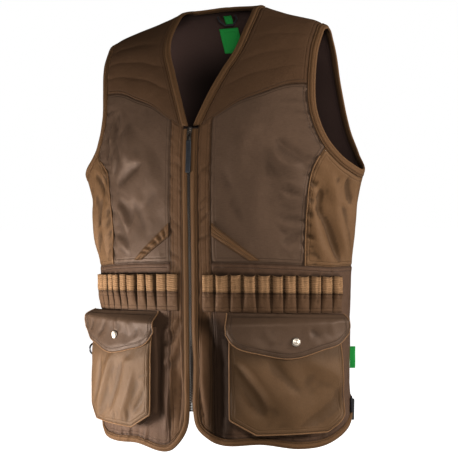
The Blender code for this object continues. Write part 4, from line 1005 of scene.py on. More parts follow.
def layRows(name, rows, finish, body="garment", smoothShade=True, **values):
    points = np.concatenate([row[0] for row in rows])
    facing = np.concatenate([row[1] for row in rows])
    edges, first = [], 0
    for row in rows:
        edges += [(first + k, first + k + 1) for k in range(len(row[0]) - 1)]
        first += len(row[0])
    lineMesh = bpy.data.meshes.new(f"{name}_lines")
    lineMesh.from_pydata([tuple(p) for p in points], edges, [])
    outward = lineMesh.attributes.new("outward", "FLOAT_VECTOR", "POINT")
    outward.data.foreach_set("vector", facing.astype(np.float32).ravel())
    carrier = linked(f"{name}_lines", lineMesh)
    modifier = carrier.modifiers.new("row", "NODES")
    modifier.node_group = pieceRow
    sockets = {item.name: item.identifier for item in pieceRow.interface.items_tree
               if item.item_type == "SOCKET" and item.in_out == "INPUT"}
    for key, value in dict(values, Finish=finish).items():
        modifier[sockets[key]] = value
    bpy.context.view_layer.update()
    ready = carrier.evaluated_get(bpy.context.evaluated_depsgraph_get())
    mesh = bpy.data.meshes.new_from_object(ready)
    mesh.name = name
    bpy.data.objects.remove(carrier)
    if smoothShade:
        mesh.shade_smooth()
    return placed(name, mesh, (), body)


# edges bound with folded cloth

bindingSettings = dict(
    profile=((-0.03, 0.0007), (0.05, 0.0013), (0.13, 0.0007), (0.19, 0.0006), (0.28, 0.0014),
             (0.5, 0.0019), (0.78, 0.0019), (0.97, 0.0013), (1.06, 0.0003), (1.06, -0.0012),
             (0.97, -0.0022), (0.55, -0.0026), (0.1, -0.0024), (-0.03, -0.0018)),
    ripple=0.0003, wave=0.011, stitchAt=0.16,
)


def bindingGrid(pairs, seed):
    # pairs: stretches of (outer line, inner line, place), joined end to end
    profile = np.array(bindingSettings["profile"])
    share, lift = profile[:, 0], profile[:, 1]
    grids, cuts, total = [], [], 0.0
    for outer, inner, place in pairs:
        flat = inner[:, None] + (outer - inner)[:, None] * share[None, :, None]
        middle = (outer + inner) / 2
        run = runAlong(middle)
        along = total + run[:, None] + 0 * share[None]
        swell = np.sin(math.pi * np.clip(share, 0, 1))[None] * (lift > 0)[None]
        ripple = noise(along / bindingSettings["wave"], 0.5, seed)
        ripple = bindingSettings["ripple"] * swell * ripple
        grids.append(laid(place, flat, lift[None] + ripple))
        width = np.linalg.norm(outer - inner, axis=1)[:, None]
        cuts.append(np.stack([along, share[None] * width], axis=-1))
        total += run[-1]
    keep = [slice(None)] + [slice(1, None)] * (len(grids) - 1)
    return (np.concatenate([g[k] for g, k in zip(grids, keep)]),
            np.concatenate([c[k] for c, k in zip(cuts, keep)]), total)


def bindingPiece(name, node, pairs, width, closed=False, seed=5):
    points, cut, length = bindingGrid(pairs, seed)
    if closed:
        points, cut = points[:-1], cut[:-1]
    near = np.abs(cut[..., 1] - bindingSettings["stitchAt"] * width) + 0.0012
    mesh = tubeMesh(name, points, cut, near, closed)
    made = placed(name, mesh, [cloths["binding"]], node=node, slot="binding_cloth")
    column = 3
    facing = unit(points[:, column] - points[:, -3])
    addRow("khaki", points[:, column] + facing * 0.0001, facing)
    return made


def bindings():
    for side in (1, -1):
        own, name = lines[side], sideNames[side]
        bindingPiece(f"armhole_edge_{name}", f"armhole_binding_{name}", [
            (own["armhole"], own["armholeIn"], front(side)),
            (own["armholeBack"], own["armholeBackIn"], behind(side))],
            seams["armholeBinding"], closed=True, seed=31 + side)
        bindingPiece(f"front_edge_{name}", f"front_edge_binding_{name}", [
            (trimmed(own["edge"]), trimmed(own["edgeIn"]), front(side))],
            seams["edgeBinding"], seed=41 + side)
    left, right = lines[1], lines[-1]
    bindingPiece("neck_edge", "neck_binding", [
        (right["neck"][::-1], right["neckIn"][::-1], front(-1)),
        (backNeck(0.0), backNeck(seams["neckBinding"]), wholeBack),
        (left["neck"], left["neckIn"], front(1))], seams["neckBinding"], seed=47)
    hem = backHem()
    hemIn = inset(hem, seams["edgeBinding"])
    for end, side in ((0, -1), (-1, 1)):
        low = lines[side]["sideSeam"][-1]
        hemIn[end] = (side * (girth(side, low[1]) - low[0]), low[1])
    bindingPiece("back_hem", "back_hem_binding", [(trimmed(hem), trimmed(hemIn), wholeBack)],
                 seams["edgeBinding"], seed=53)


def trimmed(line):
    line = line.copy()
    for end, inner in ((0, 1), (-1, -2)):
        step = line[inner] - line[end]
        line[end] += step / np.linalg.norm(step) * seams["gap"] * 2
    return line


# round cords: piping and the hanger


def ringsAround(points, along, facing, radius, sides):
    # a circle of points round each point of a line
    angle = np.arange(sides) / sides * 2 * math.pi
    beside = np.cross(along, facing)
    return points[:, None] + radius * (np.cos(angle)[None, :, None] * facing[:, None]
                                       + np.sin(angle)[None, :, None] * beside[:, None])


def cordMesh(name, points, facing, radius, sides=8):
    along = unit(np.gradient(points, axis=0))
    facing = unit(facing - (facing * along).sum(1)[:, None] * along)
    radius = np.broadcast_to(np.asarray(radius, float), (len(points),))
    rings = ringsAround(points, along, facing, radius[:, None, None], sides)
    run, angle = runAlong(points), np.arange(sides) / sides * 2 * math.pi
    cut = np.stack([run[:, None] + 0 * angle[None], 0 * run[:, None] + angle[None] * 0.001],
                   axis=-1)
    return tubeMesh(name, rings, cut, np.ones(rings.shape[:2]), sharp=80)


def facingOf(place, line, out):
    low = laid(place, line, out)
    return low, unit(laid(place, line, out + 0.002) - low)


def pipingCord(name, place, line, out, radius):
    mesh = cordMesh(name, *facingOf(place, line, out), radius)
    placed(name, mesh, [cloths["piping"]], slot="khaki_cloth")


def lineDistance(points, line):
    # how far each flat point lies from a line of points
    best = np.full(points.shape[:-1], np.inf)
    for a, b in zip(line[:-1], line[1:]):
        step = b - a
        t = np.clip(((points - a) @ step) / (step @ step), 0, 1)
        best = np.minimum(best, np.linalg.norm(points - a - t[..., None] * step, axis=-1))
    return best


def resampled(line, pitch):
    run = runAlong(line)
    at = np.linspace(0, run[-1], max(2, int(run[-1] / pitch) + 1))
    return np.stack([np.interp(at, run, line[:, k]) for k in range(line.shape[1])], axis=-1)


# slanted welts of the chest pockets

weltSettings = dict(
    top=((0.039, 0.418), (0.116, 0.4795)), low=((0.039, 0.4405), (0.098, 0.4795)),
    out=0.0019, wall=0.0014, fold=0.0011,
    gathers={-1: dict(count=6.0, rise=0.0013), 1: dict(count=3.0, rise=0.0003)},
    rows=(("top", 0.0018), ("bottom", 0.0018), ("bottom", 0.006)),
)


def welts(side):
    s, name = weltSettings, sideNames[side]
    u, v = np.linspace(0, 1, 61), np.linspace(0, 1, 17)
    top, low = (np.array(s[edge][0]) + u[:, None] * (np.array(s[edge][1]) - s[edge][0])
                for edge in ("top", "low"))
    coords = (1 - v)[:, None, None] * top[None] + v[:, None, None] * low[None]
    gathers = s["gathers"][side]
    wander = 0.8 * noise(u * 5, 0.3, 61 + side)[None] + 0.9 * v[:, None]
    wave = np.sin(math.pi * (gathers["count"] * 2 * u[None] + wander))
    rise = s["fold"] * np.sqrt(np.sin(math.pi * np.clip(v, 0.02, 0.98)))[:, None]
    rise = rise + gathers["rise"] * wave * np.sin(math.pi * v)[:, None] * smooth(u * 8)[None]
    walls = coonsWalls(coords)
    outer, inner = sheetPiece(
        f"welt_strip_{name}", f"welt_{name}", "binding_cloth", front(side), coords,
        (s["out"] + rise, s["out"] + rise * 0.3 - s["wall"]),
        np.minimum(walls["top"], walls["bottom"]), "binding")
    for edge, away in s["rows"]:
        addRow("brown", *rowInGrid(outer, inner, walls, edge, away))


# cartridge loops: an elastic band over a gathered cloth base

loopSettings = dict(
    count=11, start=0.021, pitch=0.0221, uneven=0.002, sideDrop=0.008, base=0.0017, wall=0.0011,
    # per loop from the zip: land, depth, lean towards the side seam, droop of its top edge
    left=((0.0022, 0.0075, 0.1, 0.0018), (0.003, 0.0082, -0.2, 0.0026),
          (0.0018, 0.0072, -0.3, 0.0016), (0.0034, 0.0088, 0.24, 0.003),
          (0.002, 0.0076, -0.12, 0.002), (0.0026, 0.009, 0.3, 0.0026),
          (0.0036, 0.008, -0.28, 0.0014), (0.0018, 0.0074, -0.06, 0.0024),
          (0.003, 0.0088, 0.22, 0.0018), (0.0024, 0.0078, -0.24, 0.0022),
          (0.002, 0.0072, 0.1, 0.001)),
    right=((0.0012, 0.0028, 0.0, 0.0006), (0.0014, 0.0034, 0.05, 0.0008),
           (0.0024, 0.0066, 0.22, 0.0018), (0.002, 0.006, 0.1, 0.0012),
           (0.003, 0.0072, 0.3, 0.0024), (0.0018, 0.0064, 0.16, 0.0014),
           (0.0028, 0.0074, 0.28, 0.0022), (0.0022, 0.0062, 0.1, 0.0014),
           (0.0026, 0.007, 0.24, 0.002), (0.0018, 0.0062, 0.12, 0.0012),
           (0.0016, 0.0058, 0.06, 0.001)),
    shares=(0.0, 0.03, 0.08, 0.14, 0.2, 0.27, 0.34, 0.42, 0.5, 0.58, 0.66, 0.73, 0.79, 0.84, 0.88,
            0.92, 0.96, 0.985, 1.0),
    roundness=0.42, crown=0.1, sway=0.12, footLand=0.0012, drawnFlat=0.86,
    edgeGloom=0.8, edgeHalf=0.045, deepGloom=0.97, spread=(0.75, 1.25),
    # share of each loop in painted shade: its outer edge on the left, its inner one on the right
    shade={1: 0.03, -1: 0.1},
    strips=(dict(name="elastic", node="loop_elastic", cloth="elastic", slot="loop_webbing",
                 span=(0.501, 0.53), rows=9, falls=(0.0, 0.06), droop=1.0, crumple=0.0006),
            dict(name="loop_cloth", node="loop_base", cloth="loop", slot="lower_cloth",
                 span=(0.5304, 0.5618), rows=15, falls=(0.06, 1.0), droop=0.0, crumple=0.0012)),
)


def loopDrop(across):
    s = loopSettings
    return s["sideDrop"] * (across / (s["start"] + s["count"] * s["pitch"])) ** 2


def loopColumns(side, fall):
    # places along one level of the strip: across, stand off the cloth, painted gap shade, edge
    # droop
    s = loopSettings
    across, stand, gloom, droop = [], [], [], []
    rng = np.random.default_rng(7 + side)
    ends = s["start"] + s["pitch"] * np.arange(s["count"] + 1)
    ends[1:-1] += rng.uniform(-s["uneven"], s["uneven"], s["count"] - 1)
    for k, (land, depth, lean, sag) in enumerate(s["left" if side > 0 else "right"]):
        start = ends[k]
        land = land * (1 - fall) ** 0.9 + s["footLand"] * fall
        width = ends[k + 1] - start - land
        tilt = lean + rng.uniform(-s["sway"], s["sway"])
        spread = rng.uniform(*s["spread"])
        for share in s["shares"]:
            swell = abs(math.sin(math.pi * share)) ** s["roundness"]
            skew = share + tilt * share * (1 - share)
            flat = 1 - s["crown"] * math.cos(4 * math.pi * share) * (1 - fall)
            across.append(start + land / 2 + skew * width)
            stand.append(depth * swell * flat * (1 - s["drawnFlat"] * fall ** 1.3))
            # painted shade along both edges of each loop
            edge = math.exp(-(min(share, 1 - share) / s["edgeHalf"]) ** 2)
            edge = s["edgeGloom"] * edge * (1 - 0.5 * fall)
            shade = s["shade"][side] * (1 - fall) ** 0.6 * spread
            away = share if side < 0 else 1 - share
            inside = float(smooth((shade - away) / 0.1 + 0.5)) if side > 0 or k > 1 else 0.0
            gloom.append(max(edge, s["deepGloom"] * inside))
            droop.append(sag * swell)
    return (np.array(v) for v in (across, stand, gloom, droop))


def loopStrip(side, strip):
    s, name = loopSettings, sideNames[side]
    rows, place = [], front(side)
    (top, foot), (slack, drawn) = strip["span"], strip["falls"]
    for v in np.linspace(0, 1, strip["rows"]):
        across, stand, gloom, droop = loopColumns(side, slack + (drawn - slack) * v)
        down = top + (foot - top) * v + loopDrop(across)
        down = down + droop * (1 - v) ** 2 * strip["droop"]
        crumple = strip["crumple"] * noise(across / 0.006, down / 0.009, 71 + side)
        stand = np.maximum(stand + crumple * stand / 0.008, 0)
        rows.append((across, down, s["base"] + stand, gloom))
    across, down, out, gloom = (np.array([row[k] for row in rows]) for k in range(4))
    outer = place(across, down, out)
    normals = outwardNormals(outer, place(across, down, out - 0.002))
    # keep the inner face off the cloth behind it where the strip is sewn down
    floor = place(across, down, np.full_like(out, s["base"] - s["wall"]))
    sewn = np.clip(1 - (out - s["base"]) / 0.002, 0, 1)[..., None]
    inner = (outer - normals * s["wall"]) * (1 - sewn) + floor * sewn
    walls = coonsWalls(outer)
    mesh = shellMesh(f"{strip['name']}_{name}", outer, inner, np.stack([across, down], axis=-1),
                     np.minimum(walls["top"], walls["bottom"]), gloom=gloom)
    made = placed(f"{strip['name']}_{name}", mesh, [cloths[strip["cloth"]], cloths["inside"]],
                  node=f"{strip['node']}_{name}", slot=strip["slot"])


# bellows pockets and their flaps

bagSettings = dict(
    inner=0.067, outer=0.246, top=0.59, shoulder=0.733, low=0.757,
    chamferInner=0.04, chamferOuter=0.03, mouth=0.013, depth=0.02, depthFade=0.06,
    layer=0.0005, wall=0.0012, piping=0.0011, tuck=0.0035,
    # folds, in millimetres: from (across, down) to (across, down), bow, half width, height
    folds={
        1: ((60, 640, 118, 728, -6, 13, -6.2),
            (86, 622, 150, 716, 6, 15, 4.8),
            (124, 622, 172, 690, 5, 11, -4),
            (148, 650, 176, 748, 6, 24, 4.2),
            (176, 748, 262, 682, 6, 16, -6.2),
            (200, 762, 262, 716, 4, 11, 4.4),
            (180, 628, 256, 676, 6, 16, 3.4)),
        -1: ((150, 626, 208, 746, 5, 9.5, 4.8),
             (126, 636, 168, 738, 5, 9.5, -3.6),
             (101, 660, 136, 750, 4, 8.5, 3.2),
             (188, 644, 228, 734, 5, 9, -3.4),
             (100, 622, 122, 644, 2, 6, -2.6),
             (74, 614, 88, 632, 2, 4, -2),
             (88, 612, 98, 630, 2, 4, 2),
             (70, 664, 90, 672, 2, 4.5, -1.4),
             (76, 690, 102, 734, 3, 6.5, -2.6),
             (118, 730, 124, 754, 1, 3.5, 1.4),
             (150, 734, 156, 756, 1, 4, -1.4))},
    # painted shade on the face: beside the zip, beneath the flap
    puff=0.0024, shade={1: (0.5, 0.46), -1: (0.1, 0.28)}, besideRun=0.016, footRun=0.05,
    flapFoot=0.628, flapRun=0.014,
    foldsFrom=0.63, foldsRun=0.024, foldsLeast=0.2, small=(0.0003, 0.014, 0.02),
    dip=0.0008, dipHalf=0.002, stitchAt=0.0032, linePitch=0.003, rimPitch=0.0026, steps=9,
    ruffle=0.0006,
)
flapSettings = dict(
    inner=0.062, outer=0.262, top=0.5635, shoulder=0.584,
    low=((0.062, 0.598, 1), (0.072, 0.613, 3), (0.115, 0.629, 3), (0.16, 0.6365, 3),
         (0.207, 0.626, 2), (0.249, 0.614, 1), (0.262, 0.602, 0)),
    rows=34, wall=0.0018, clearance=0.0012, flare=0.011, flareFrom=0.19, piping=0.0012,
    snapAt={1: (0.167, 0.61), -1: (0.148, 0.606)}, snapGap=0.0006,
    belly=0.0022, lowRun=0.012, topRun=0.016, small=(0.0004, 0.011, 0.012),
    folds={
        1: ((120, 590, 140, 612, 2, 7, 1),
            (190, 590, 214, 602, 3, 7.5, -1.4),
            (150, 618, 182, 620, 2, 4, -1),
            (228, 576, 232, 604, 2, 6, 1)),
        -1: ((150, 578, 148, 604, 1, 4, 1.6),
             (180, 580, 200, 612, 3, 8, -1.6),
             (120, 582, 110, 606, 2, 6, 1.2),
             (224, 584, 236, 608, 2, 7, -2),
             (94, 590, 100, 608, 1, 4.5, -1))},
)


def bagDepth(down):
    s = bagSettings
    share = smooth((down - s["top"]) / s["depthFade"])
    return s["mouth"] + (s["depth"] - s["mouth"]) * share


def bagOutline():
    s = bagSettings
    inner = straight((s["inner"], s["top"]), (s["inner"], s["shoulder"]), 5)
    left, right = s["inner"] + s["chamferInner"], s["outer"] - s["chamferOuter"]
    chamferInner = straight((s["inner"], s["shoulder"]), (left, s["low"]), 2)
    low = straight((left, s["low"]), (right, s["low"]), 7)
    chamferOuter = straight((right, s["low"]), (s["outer"], s["shoulder"]), 2)
    outer = straight((s["outer"], s["shoulder"]), (s["outer"], s["top"]), 5)
    return inner, joined(chamferInner, low, chamferOuter), outer


def fineCrumple(setting, across, down, seed):
    height, wide, long = setting
    return height * noise(across / wide, down / long, seed)


def bagRelief(side, across, down):
    s = bagSettings
    total = addCreases(np.zeros_like(across), s["folds"][side], across, down)
    # the folds are faint beneath the flap
    share = smooth((down - s["foldsFrom"]) / s["foldsRun"])
    total = total * (s["foldsLeast"] + (1 - s["foldsLeast"]) * share)
    u = np.clip((across - s["inner"]) / (s["outer"] - s["inner"]), 0, 1)
    v = np.clip((down - s["top"]) / (s["low"] - s["top"]), 0, 1)
    puff = s["puff"] * np.sin(math.pi * u) ** 0.7 * smooth(v / 0.4) * smooth((1 - v) / 0.25)
    edge = smooth(u / 0.06) * smooth((1 - u) / 0.06) * smooth((1 - v) / 0.08)
    small = fineCrumple(s["small"], across, down, 91 + side)
    return (total + small) * (0.25 + 0.75 * edge) + puff


def pockets(side):
    s, name = bagSettings, sideNames[side]
    inner, low, outer = bagOutline()
    base = front(side)

    def face(across, down, out=0.0):
        return base(across, down, bagDepth(down) + bagRelief(side, across, down) + out)

    share = np.linspace(0, 1, len(low))[:, None]
    coords = coons((1 - share) * inner[0] + share * outer[-1], low, inner, outer[::-1])
    path = joined(inner, low, outer)
    away = lineDistance(coords, path)
    across, down = coords[..., 0], coords[..., 1]
    sunk = s["layer"] - s["dip"] * np.exp(-(away / s["dipHalf"]) ** 2)
    # painted shade on the pocket face beside the zip and beneath the flap
    inwards = np.exp(-((across - s["inner"]) / s["besideRun"]) ** 2)
    inwards = inwards * smooth((s["low"] - down) / s["footRun"])
    beneath = np.exp(-(np.maximum(down - s["flapFoot"], 0) / s["flapRun"]) ** 2)
    besideZip, underFlap = s["shade"][side]
    sheetPiece(f"bag_face_{name}", f"pocket_face_{name}", "khaki_cloth", face, coords,
               (sunk, sunk - s["wall"]), away, "bag", on=(f"lower_{name}",), hollow=0.3,
               gloom=np.maximum(besideZip * inwards, underFlap * beneath))
    pipingCord(f"bag_piping_{name}", face, resampled(path, s["linePitch"]), s["layer"] - 0.0004,
               s["piping"])
    line = resampled(inset(path, s["stitchAt"]), s["linePitch"])
    addRow("khaki", *facingOf(face, line, s["layer"] + 0.0001))
    steps, rows = np.linspace(0, 1, s["steps"]), []
    rim = resampled(path, s["rimPitch"])
    ruffle = s["ruffle"] * noise(np.arange(len(rim)) / 4.0, 0.4, 97 + side)[:, None] + s["tuck"]
    head = bagDepth(rim[:, 1]) + s["layer"] - s["wall"] - seams["gap"]
    for t in steps:
        # the bellows fold in halfway down
        drawn = inset(rim, ruffle * math.sin(math.pi * t) ** 0.8 + 0.0002)
        rows.append(laid(base, drawn, head * (1 - t) + s["layer"] * t))
    rows = np.array(rows)
    inside = rows - outwardNormals(rows, rows.mean((0, 1))) * s["wall"]
    run = runAlong(rim)
    flat = grid(run, steps * s["depth"])
    near = np.abs(flat[..., 1] - s["depth"] * 0.1) + 0.0015
    mesh = shellMesh(f"bag_side_{name}", rows, inside, flat, near)
    made = placed(f"bag_side_{name}", mesh, [cloths["lower"], cloths["inside"]],
                  node=f"pocket_gusset_{name}", slot="lower_cloth")


def flapOut(side, across, down):
    s, bag = flapSettings, bagSettings
    over = bagDepth(np.maximum(down, bag["top"])) + bag["layer"] + s["clearance"] + s["wall"]
    share = smooth((down - s["top"]) / (s["shoulder"] - s["top"]))
    # it lies over the swell of the pocket
    over = over + np.maximum(bagRelief(side, across, np.maximum(down, bag["top"])), 0)
    rise = (bag["layer"] + s["wall"]) * (1 - share) + over * share
    if side < 0:
        lift = np.maximum(0.0, (across - s["flareFrom"]) / (s["outer"] - s["flareFrom"]))
        rise = rise + s["flare"] * lift ** 2 * share
    total = addCreases(np.zeros_like(rise), s["folds"][side], across, down)
    lowest = np.interp(across, [row[0] for row in s["low"]], [row[1] for row in s["low"]])
    fallen = down - s["top"]
    belly = s["belly"] * smooth((lowest - down) / s["lowRun"]) * smooth(fallen / s["topRun"])
    small = fineCrumple(s["small"], across, down, 101 + side)
    return rise + total * smooth(fallen / s["lowRun"]) + belly + small


def flaps(side):
    s, name = flapSettings, sideNames[side]
    base = front(side)

    def place(across, down, out=0.0):
        return base(across, down, flapOut(side, across, down) + out)

    low = curveThrough(s["low"])
    top = np.stack([low[:, 0], s["top"] + loopDrop(low[:, 0])], axis=-1)
    share = np.linspace(0, 1, s["rows"])[:, None, None]
    coords = (1 - share) * top[None] + share * low[None]
    border = np.concatenate([top[:1], low, top[-1:]])
    away = lineDistance(coords, border)
    away = np.minimum(away, np.abs(coords[..., 1] - top[None, :, 1]) + 0.0022)
    sheetPiece(f"flap_{name}", f"pocket_flap_{name}", "chest_cloth", place, coords,
               (0.0, -s["wall"]), away, "flap", "flap", "draped", (f"bag_face_{name}",))
    pipingCord(f"flap_piping_{name}", place, resampled(border, 0.003), -s["wall"] / 2, s["piping"])
    for gap in (0.0062, 0.0092):
        line = resampled(inset(border, gap), 0.003)
        addRow("brown", *facingOf(place, line[2:-2], 0.0001))
    snap(f"snap_cap_{name}", f"snap_{name}", place, *s["snapAt"][side], s["snapGap"])


def frameAt(place, across, down, out=0.0, step=0.004):
    # axes on the cloth: X round the body, Y up it and Z out of it
    spots = np.array([[across, down], [across + step, down], [across - step, down],
                      [across, down - step], [across, down + step]])
    centre, right, left, high, low = place(spots[:, 0], spots[:, 1], np.full(5, out))
    beside = right - left
    beside /= np.linalg.norm(beside)
    outward = np.cross(beside, high - low)
    outward /= np.linalg.norm(outward)
    upward = np.cross(outward, beside)
    turned = Matrix([list(row) for row in np.stack([beside, upward, outward], axis=1)])
    return Matrix.Translation(Vector(centre)) @ turned.to_4x4()


snapProfile = ((0.0006, 0.003), (0.0018, 0.00294), (0.0027, 0.00275), (0.0031, 0.00245),
               (0.0036, 0.0024), (0.0041, 0.00262), (0.0047, 0.00262), (0.0058, 0.00215),
               (0.0067, 0.0014), (0.0073, 0.0007), (0.0075, 0.0003), (0.0074, 0.0))


def snapShape(shape, sides=40):
    # a round piece from its profile of (radius, height), from the top to the underside
    turns = [2 * math.pi * k / sides for k in range(sides)]
    rings = [[shape.verts.new((radius * math.cos(turn), radius * math.sin(turn), height))
              for turn in turns] for radius, height in snapProfile]
    for high, low in zip(rings, rings[1:]):
        for k in range(sides):
            shape.faces.new((high[k], low[k], low[(k + 1) % sides], high[(k + 1) % sides]))
    shape.faces.new(rings[0])
    shape.faces.new(rings[-1][::-1])
    bmesh.ops.recalc_face_normals(shape, faces=shape.faces)


def snap(name, node, place, across, down, gap):
    spot = frameAt(lambda a, d, o: place(np.abs(a), d, o), across, down, gap)
    if spot.to_3x3().col[2].dot(Vector((0, -1, 0))) < 0:
        spot = spot @ Matrix.Rotation(math.pi, 4, "Y")
    mesh = shapedMesh(name, snapShape, spot, sharp=50)
    placed(name, mesh, [metals["nickel"]], node=node, slot="snap_metal")


def clothPanel(name, node, coords, place, kind, cloth, seed, gap=seams["gap"], rise=0.0,
               on=("back",), **shade):
    coords = drawnIn(coords, gap)
    relief, near = seamRelief(coords, panelSettings[kind], seed)
    relief = relief + rise
    outer, under = sheetPiece(name, node, f"{cloth}_cloth", place, coords,
                              (relief, relief * 0.8 - panelSettings["wall"]), near, cloth, on=on,
                              **shade)
    walls = coonsWalls(coords)
    for side, away in panelSettings["rows"][kind]:
        addRow("brown", *rowInGrid(outer, under, walls, side, away))


panelSettings = dict(
    # each border: dip at the seam, height of its puckers, their spacing
    yoke=dict(top=(0.0003, 0.0, 0.02), bottom=(0.0002, 0.0003, 0.012),
              left=(0.001, 0.0004, 0.009), right=(0.0008, 0.0004, 0.009)),
    chest=dict(top=(0.0024, 0.0002, 0.012), bottom=(0.001, 0.001, 0.009),
               left=(0.001, 0.0006, 0.01), right=(0.0012, 0.0017, 0.0074, 0.022)),
    side=dict(top=(0.0008, 0.0006, 0.01), bottom=(0.001, 0.0007, 0.01),
              left=(0.001, 0.0017, 0.0074, 0.012), right=(0.001, 0.0008, 0.012)),
    placket=dict(top=(0.0024, 0.0002, 0.01), bottom=(0.0008, 0.0006, 0.008),
                 left=(0.0008, 0.001, 0.0075), right=(0.0004, 0.001, 0.0075)),
    lower=dict(top=(0.001, 0.0012, 0.008), bottom=(0.001, 0.0014, 0.007),
               left=(0.0024, 0.0006, 0.01), right=(0.001, 0.0005, 0.014)),
    back=dict(top=(0.0005, 0.0003, 0.014), bottom=(0.001, 0.001, 0.01),
              left=(0.001, 0.0009, 0.01), right=(0.001, 0.0009, 0.01)),
    quilt=dict(rows=5, puff=0.0015, valley=0.55), wall=0.0012,
    rows=dict(
        yoke=(("bottom", 0.002), ("bottom", 0.008)),
        chest=(("right", 0.0025), ("right", 0.0082)),
        side=(("left", 0.0042), ("right", 0.004)),
        placket=(("right", 0.002), ("left", 0.002)),
        lower=(("top", 0.002), ("top", 0.0078), ("left", 0.002), ("bottom", 0.003)),
        back=(("bottom", 0.003), ("left", 0.003), ("right", 0.003))),
)


def quiltRise(rows, columns):
    setting = panelSettings["quilt"]
    j = np.linspace(0, 1, rows)[:, None]
    i = np.linspace(0, 1, columns)[None, :]
    wave = np.abs(np.sin(math.pi * j * setting["rows"])) ** setting["valley"]
    ends = np.sin(math.pi * i) ** 0.3
    wander = 1 + 0.25 * noise(i * 7, j * 3, 21)
    return setting["puff"] * wave * ends * wander


gloomSettings = dict(
    # painted shadow in the fold beside the pocket, deep on the left side and faint on the right;
    # the fold lies nearer the zip above the bend
    deep={1: 1.0, -1: 0.15}, centre=0.05, half=0.022, bend=0.615, bendRun=0.05, moved=0.022,
    top=0.56, topFade=0.02, foot=0.785, footFade=0.03,
    # painted shade in the open tops of the loops and behind them
    mouth=0.9, mouthHalf=0.0012, mouthAt=0.0005, scallop=0.0022, behind=0.7, outer=0.262,
    loopsFoot=0.562,
    # painted shade on the inside of the back, seen through the neck
    back=dict(aside=0.02, half=0.155, foot=0.46, footFade=0.12, least=0.55, top=0.06, topFade=0.1),
)


def besideGloom(side, across, down):
    # painted shade in the fold beside the pocket
    s = gloomSettings
    centre = s["centre"] - s["moved"] * smooth((s["bend"] - down) / s["bendRun"])
    shade = s["deep"][side] * np.exp(-np.abs((across - centre) / s["half"]) ** 4)
    shade = shade * smooth((down - s["top"]) / s["topFade"])
    return shade * smooth((s["foot"] - down) / s["footFade"])


def lowerGloom(side, across, down):
    # painted shade: the fold beside the pocket, a dark scalloped line at the loops' open tops, and
    # the cloth behind the loops
    s, beside = gloomSettings, besideGloom(side, across, down)
    top = loopSettings["strips"][0]["span"][0] + loopDrop(across) - s["mouthAt"]
    turn = math.pi * (across - loopSettings["start"]) / loopSettings["pitch"]
    half = s["mouthHalf"] + s["scallop"] * np.abs(np.sin(turn))
    inside = (across > loopSettings["start"]) & (across < s["outer"])
    mouth = s["mouth"] * np.exp(-((down - top - 2 * s["mouthAt"]) / half) ** 2) * inside
    behindLoops = s["behind"] * inside * (down > top) * (down < s["loopsFoot"])
    return np.maximum(beside, np.maximum(mouth, behindLoops))


def frontPanels(side):
    own, s, name = lines[side], seams, sideNames[side]

    def panel(made, node, coords, kind, cloth, seed, **shade):
        clothPanel(f"{made}_{name}", f"{node}_{name}", coords, front(side), kind, cloth,
                   seed + side, **shade)

    share = np.linspace(0, 1, len(own["yoke"]))[:, None]
    across = (1 - share) * own["neckIn"][0, 0] + share * own["armholeIn"][0, 0]
    ridge = np.concatenate([across, np.full_like(across, s["ridge"])], axis=1)
    coords = coons(ridge, own["yoke"], own["neckIn"], own["armholeIn"][: s["yokeEnd"] * fine + 1])
    coords[0, :, 1] = s["ridge"]
    panel("yoke", "front_yoke", coords, "yoke", "yoke", 11, hollow=0.2,
          rise=quiltRise(*coords.shape[:2]))
    outer = joined(own["armholeIn"][s["yokeEnd"] * fine: s["princessTop"] * fine + 1],
                   own["princess"])
    waistStep, placketStep = s["chestSteps"] * fine, (s["chestSteps"] + 2) * fine
    coords = coons(own["yoke"][s["placketSteps"] * fine:], own["waist"][: waistStep + 1],
                   own["placket"][: placketStep + 1], outer)
    panel("chest", "front_chest", lapped(coords), "chest", "chest", 23, hollow=0.26)
    coords = coons(own["armholeIn"][s["princessTop"] * fine:], own["waist"][waistStep:],
                   own["princess"], own["sideSeam"][: s["princessSteps"] * fine + 1])
    panel("side", "side_panel", coords, "side", "khaki", 37, hollow=0.6)
    low, lowEnd = s["placketLow"] * fine, s["placketLowEnd"] * fine
    zipSide = own["edgeIn"][: low + 1].copy()
    zipSide[0] = s["neckCorner"]
    coords = coons(own["yoke"][: s["placketSteps"] * fine + 1], own["edgeIn"][low: lowEnd + 1],
                   zipSide, own["placket"])
    # painted shade beside the pocket reaches onto the placket
    panel("placket_strip", "placket", lapped(coords), "placket", "placket", 51,
          gloom=besideGloom(side, coords[..., 0], coords[..., 1]))
    coords = coons(own["waist"], own["edgeIn"][lowEnd:], own["placket"][placketStep:],
                   own["sideSeam"][s["princessSteps"] * fine:])
    panel("lower", "lower_front", lapped(coords, side="left"), "lower", "lower", 67,
          gloom=lowerGloom(side, coords[..., 0], coords[..., 1]))


def lapped(coords, much=0.0026, side="top"):
    # one edge carried beneath the piece beyond it
    coords = coords.copy()
    if side == "top":
        coords[0, :, 1] -= much
        coords[:2, -1, 0] += 1.1 * much
    else:
        coords[:, 0, 0] -= much
    return coords


def signed(line, side):
    return line * np.array([side, 1.0])


def backNeck(width):
    half = curveThrough(seams["backNeck"])
    if width:
        half = inset(half, width)
        half[0] = (seams["neck"][0][0] + width, 0.0)
        half[-1] = (0.0, seams["backNeck"][-1][1] + width)
    return joined(signed(half, -1), half[::-1])


def backHem():
    halves = {}
    for side in (1, -1):
        low = (1 - seams["sideShare"]) * girth(side, seams["edgeEnd"])
        rows = ((low, seams["edgeEnd"], seams["backEdgeSteps"]),) + seams["backEdge"]
        halves[side] = signed(curveThrough(rows), side)
    return joined(halves[-1], halves[1][::-1])


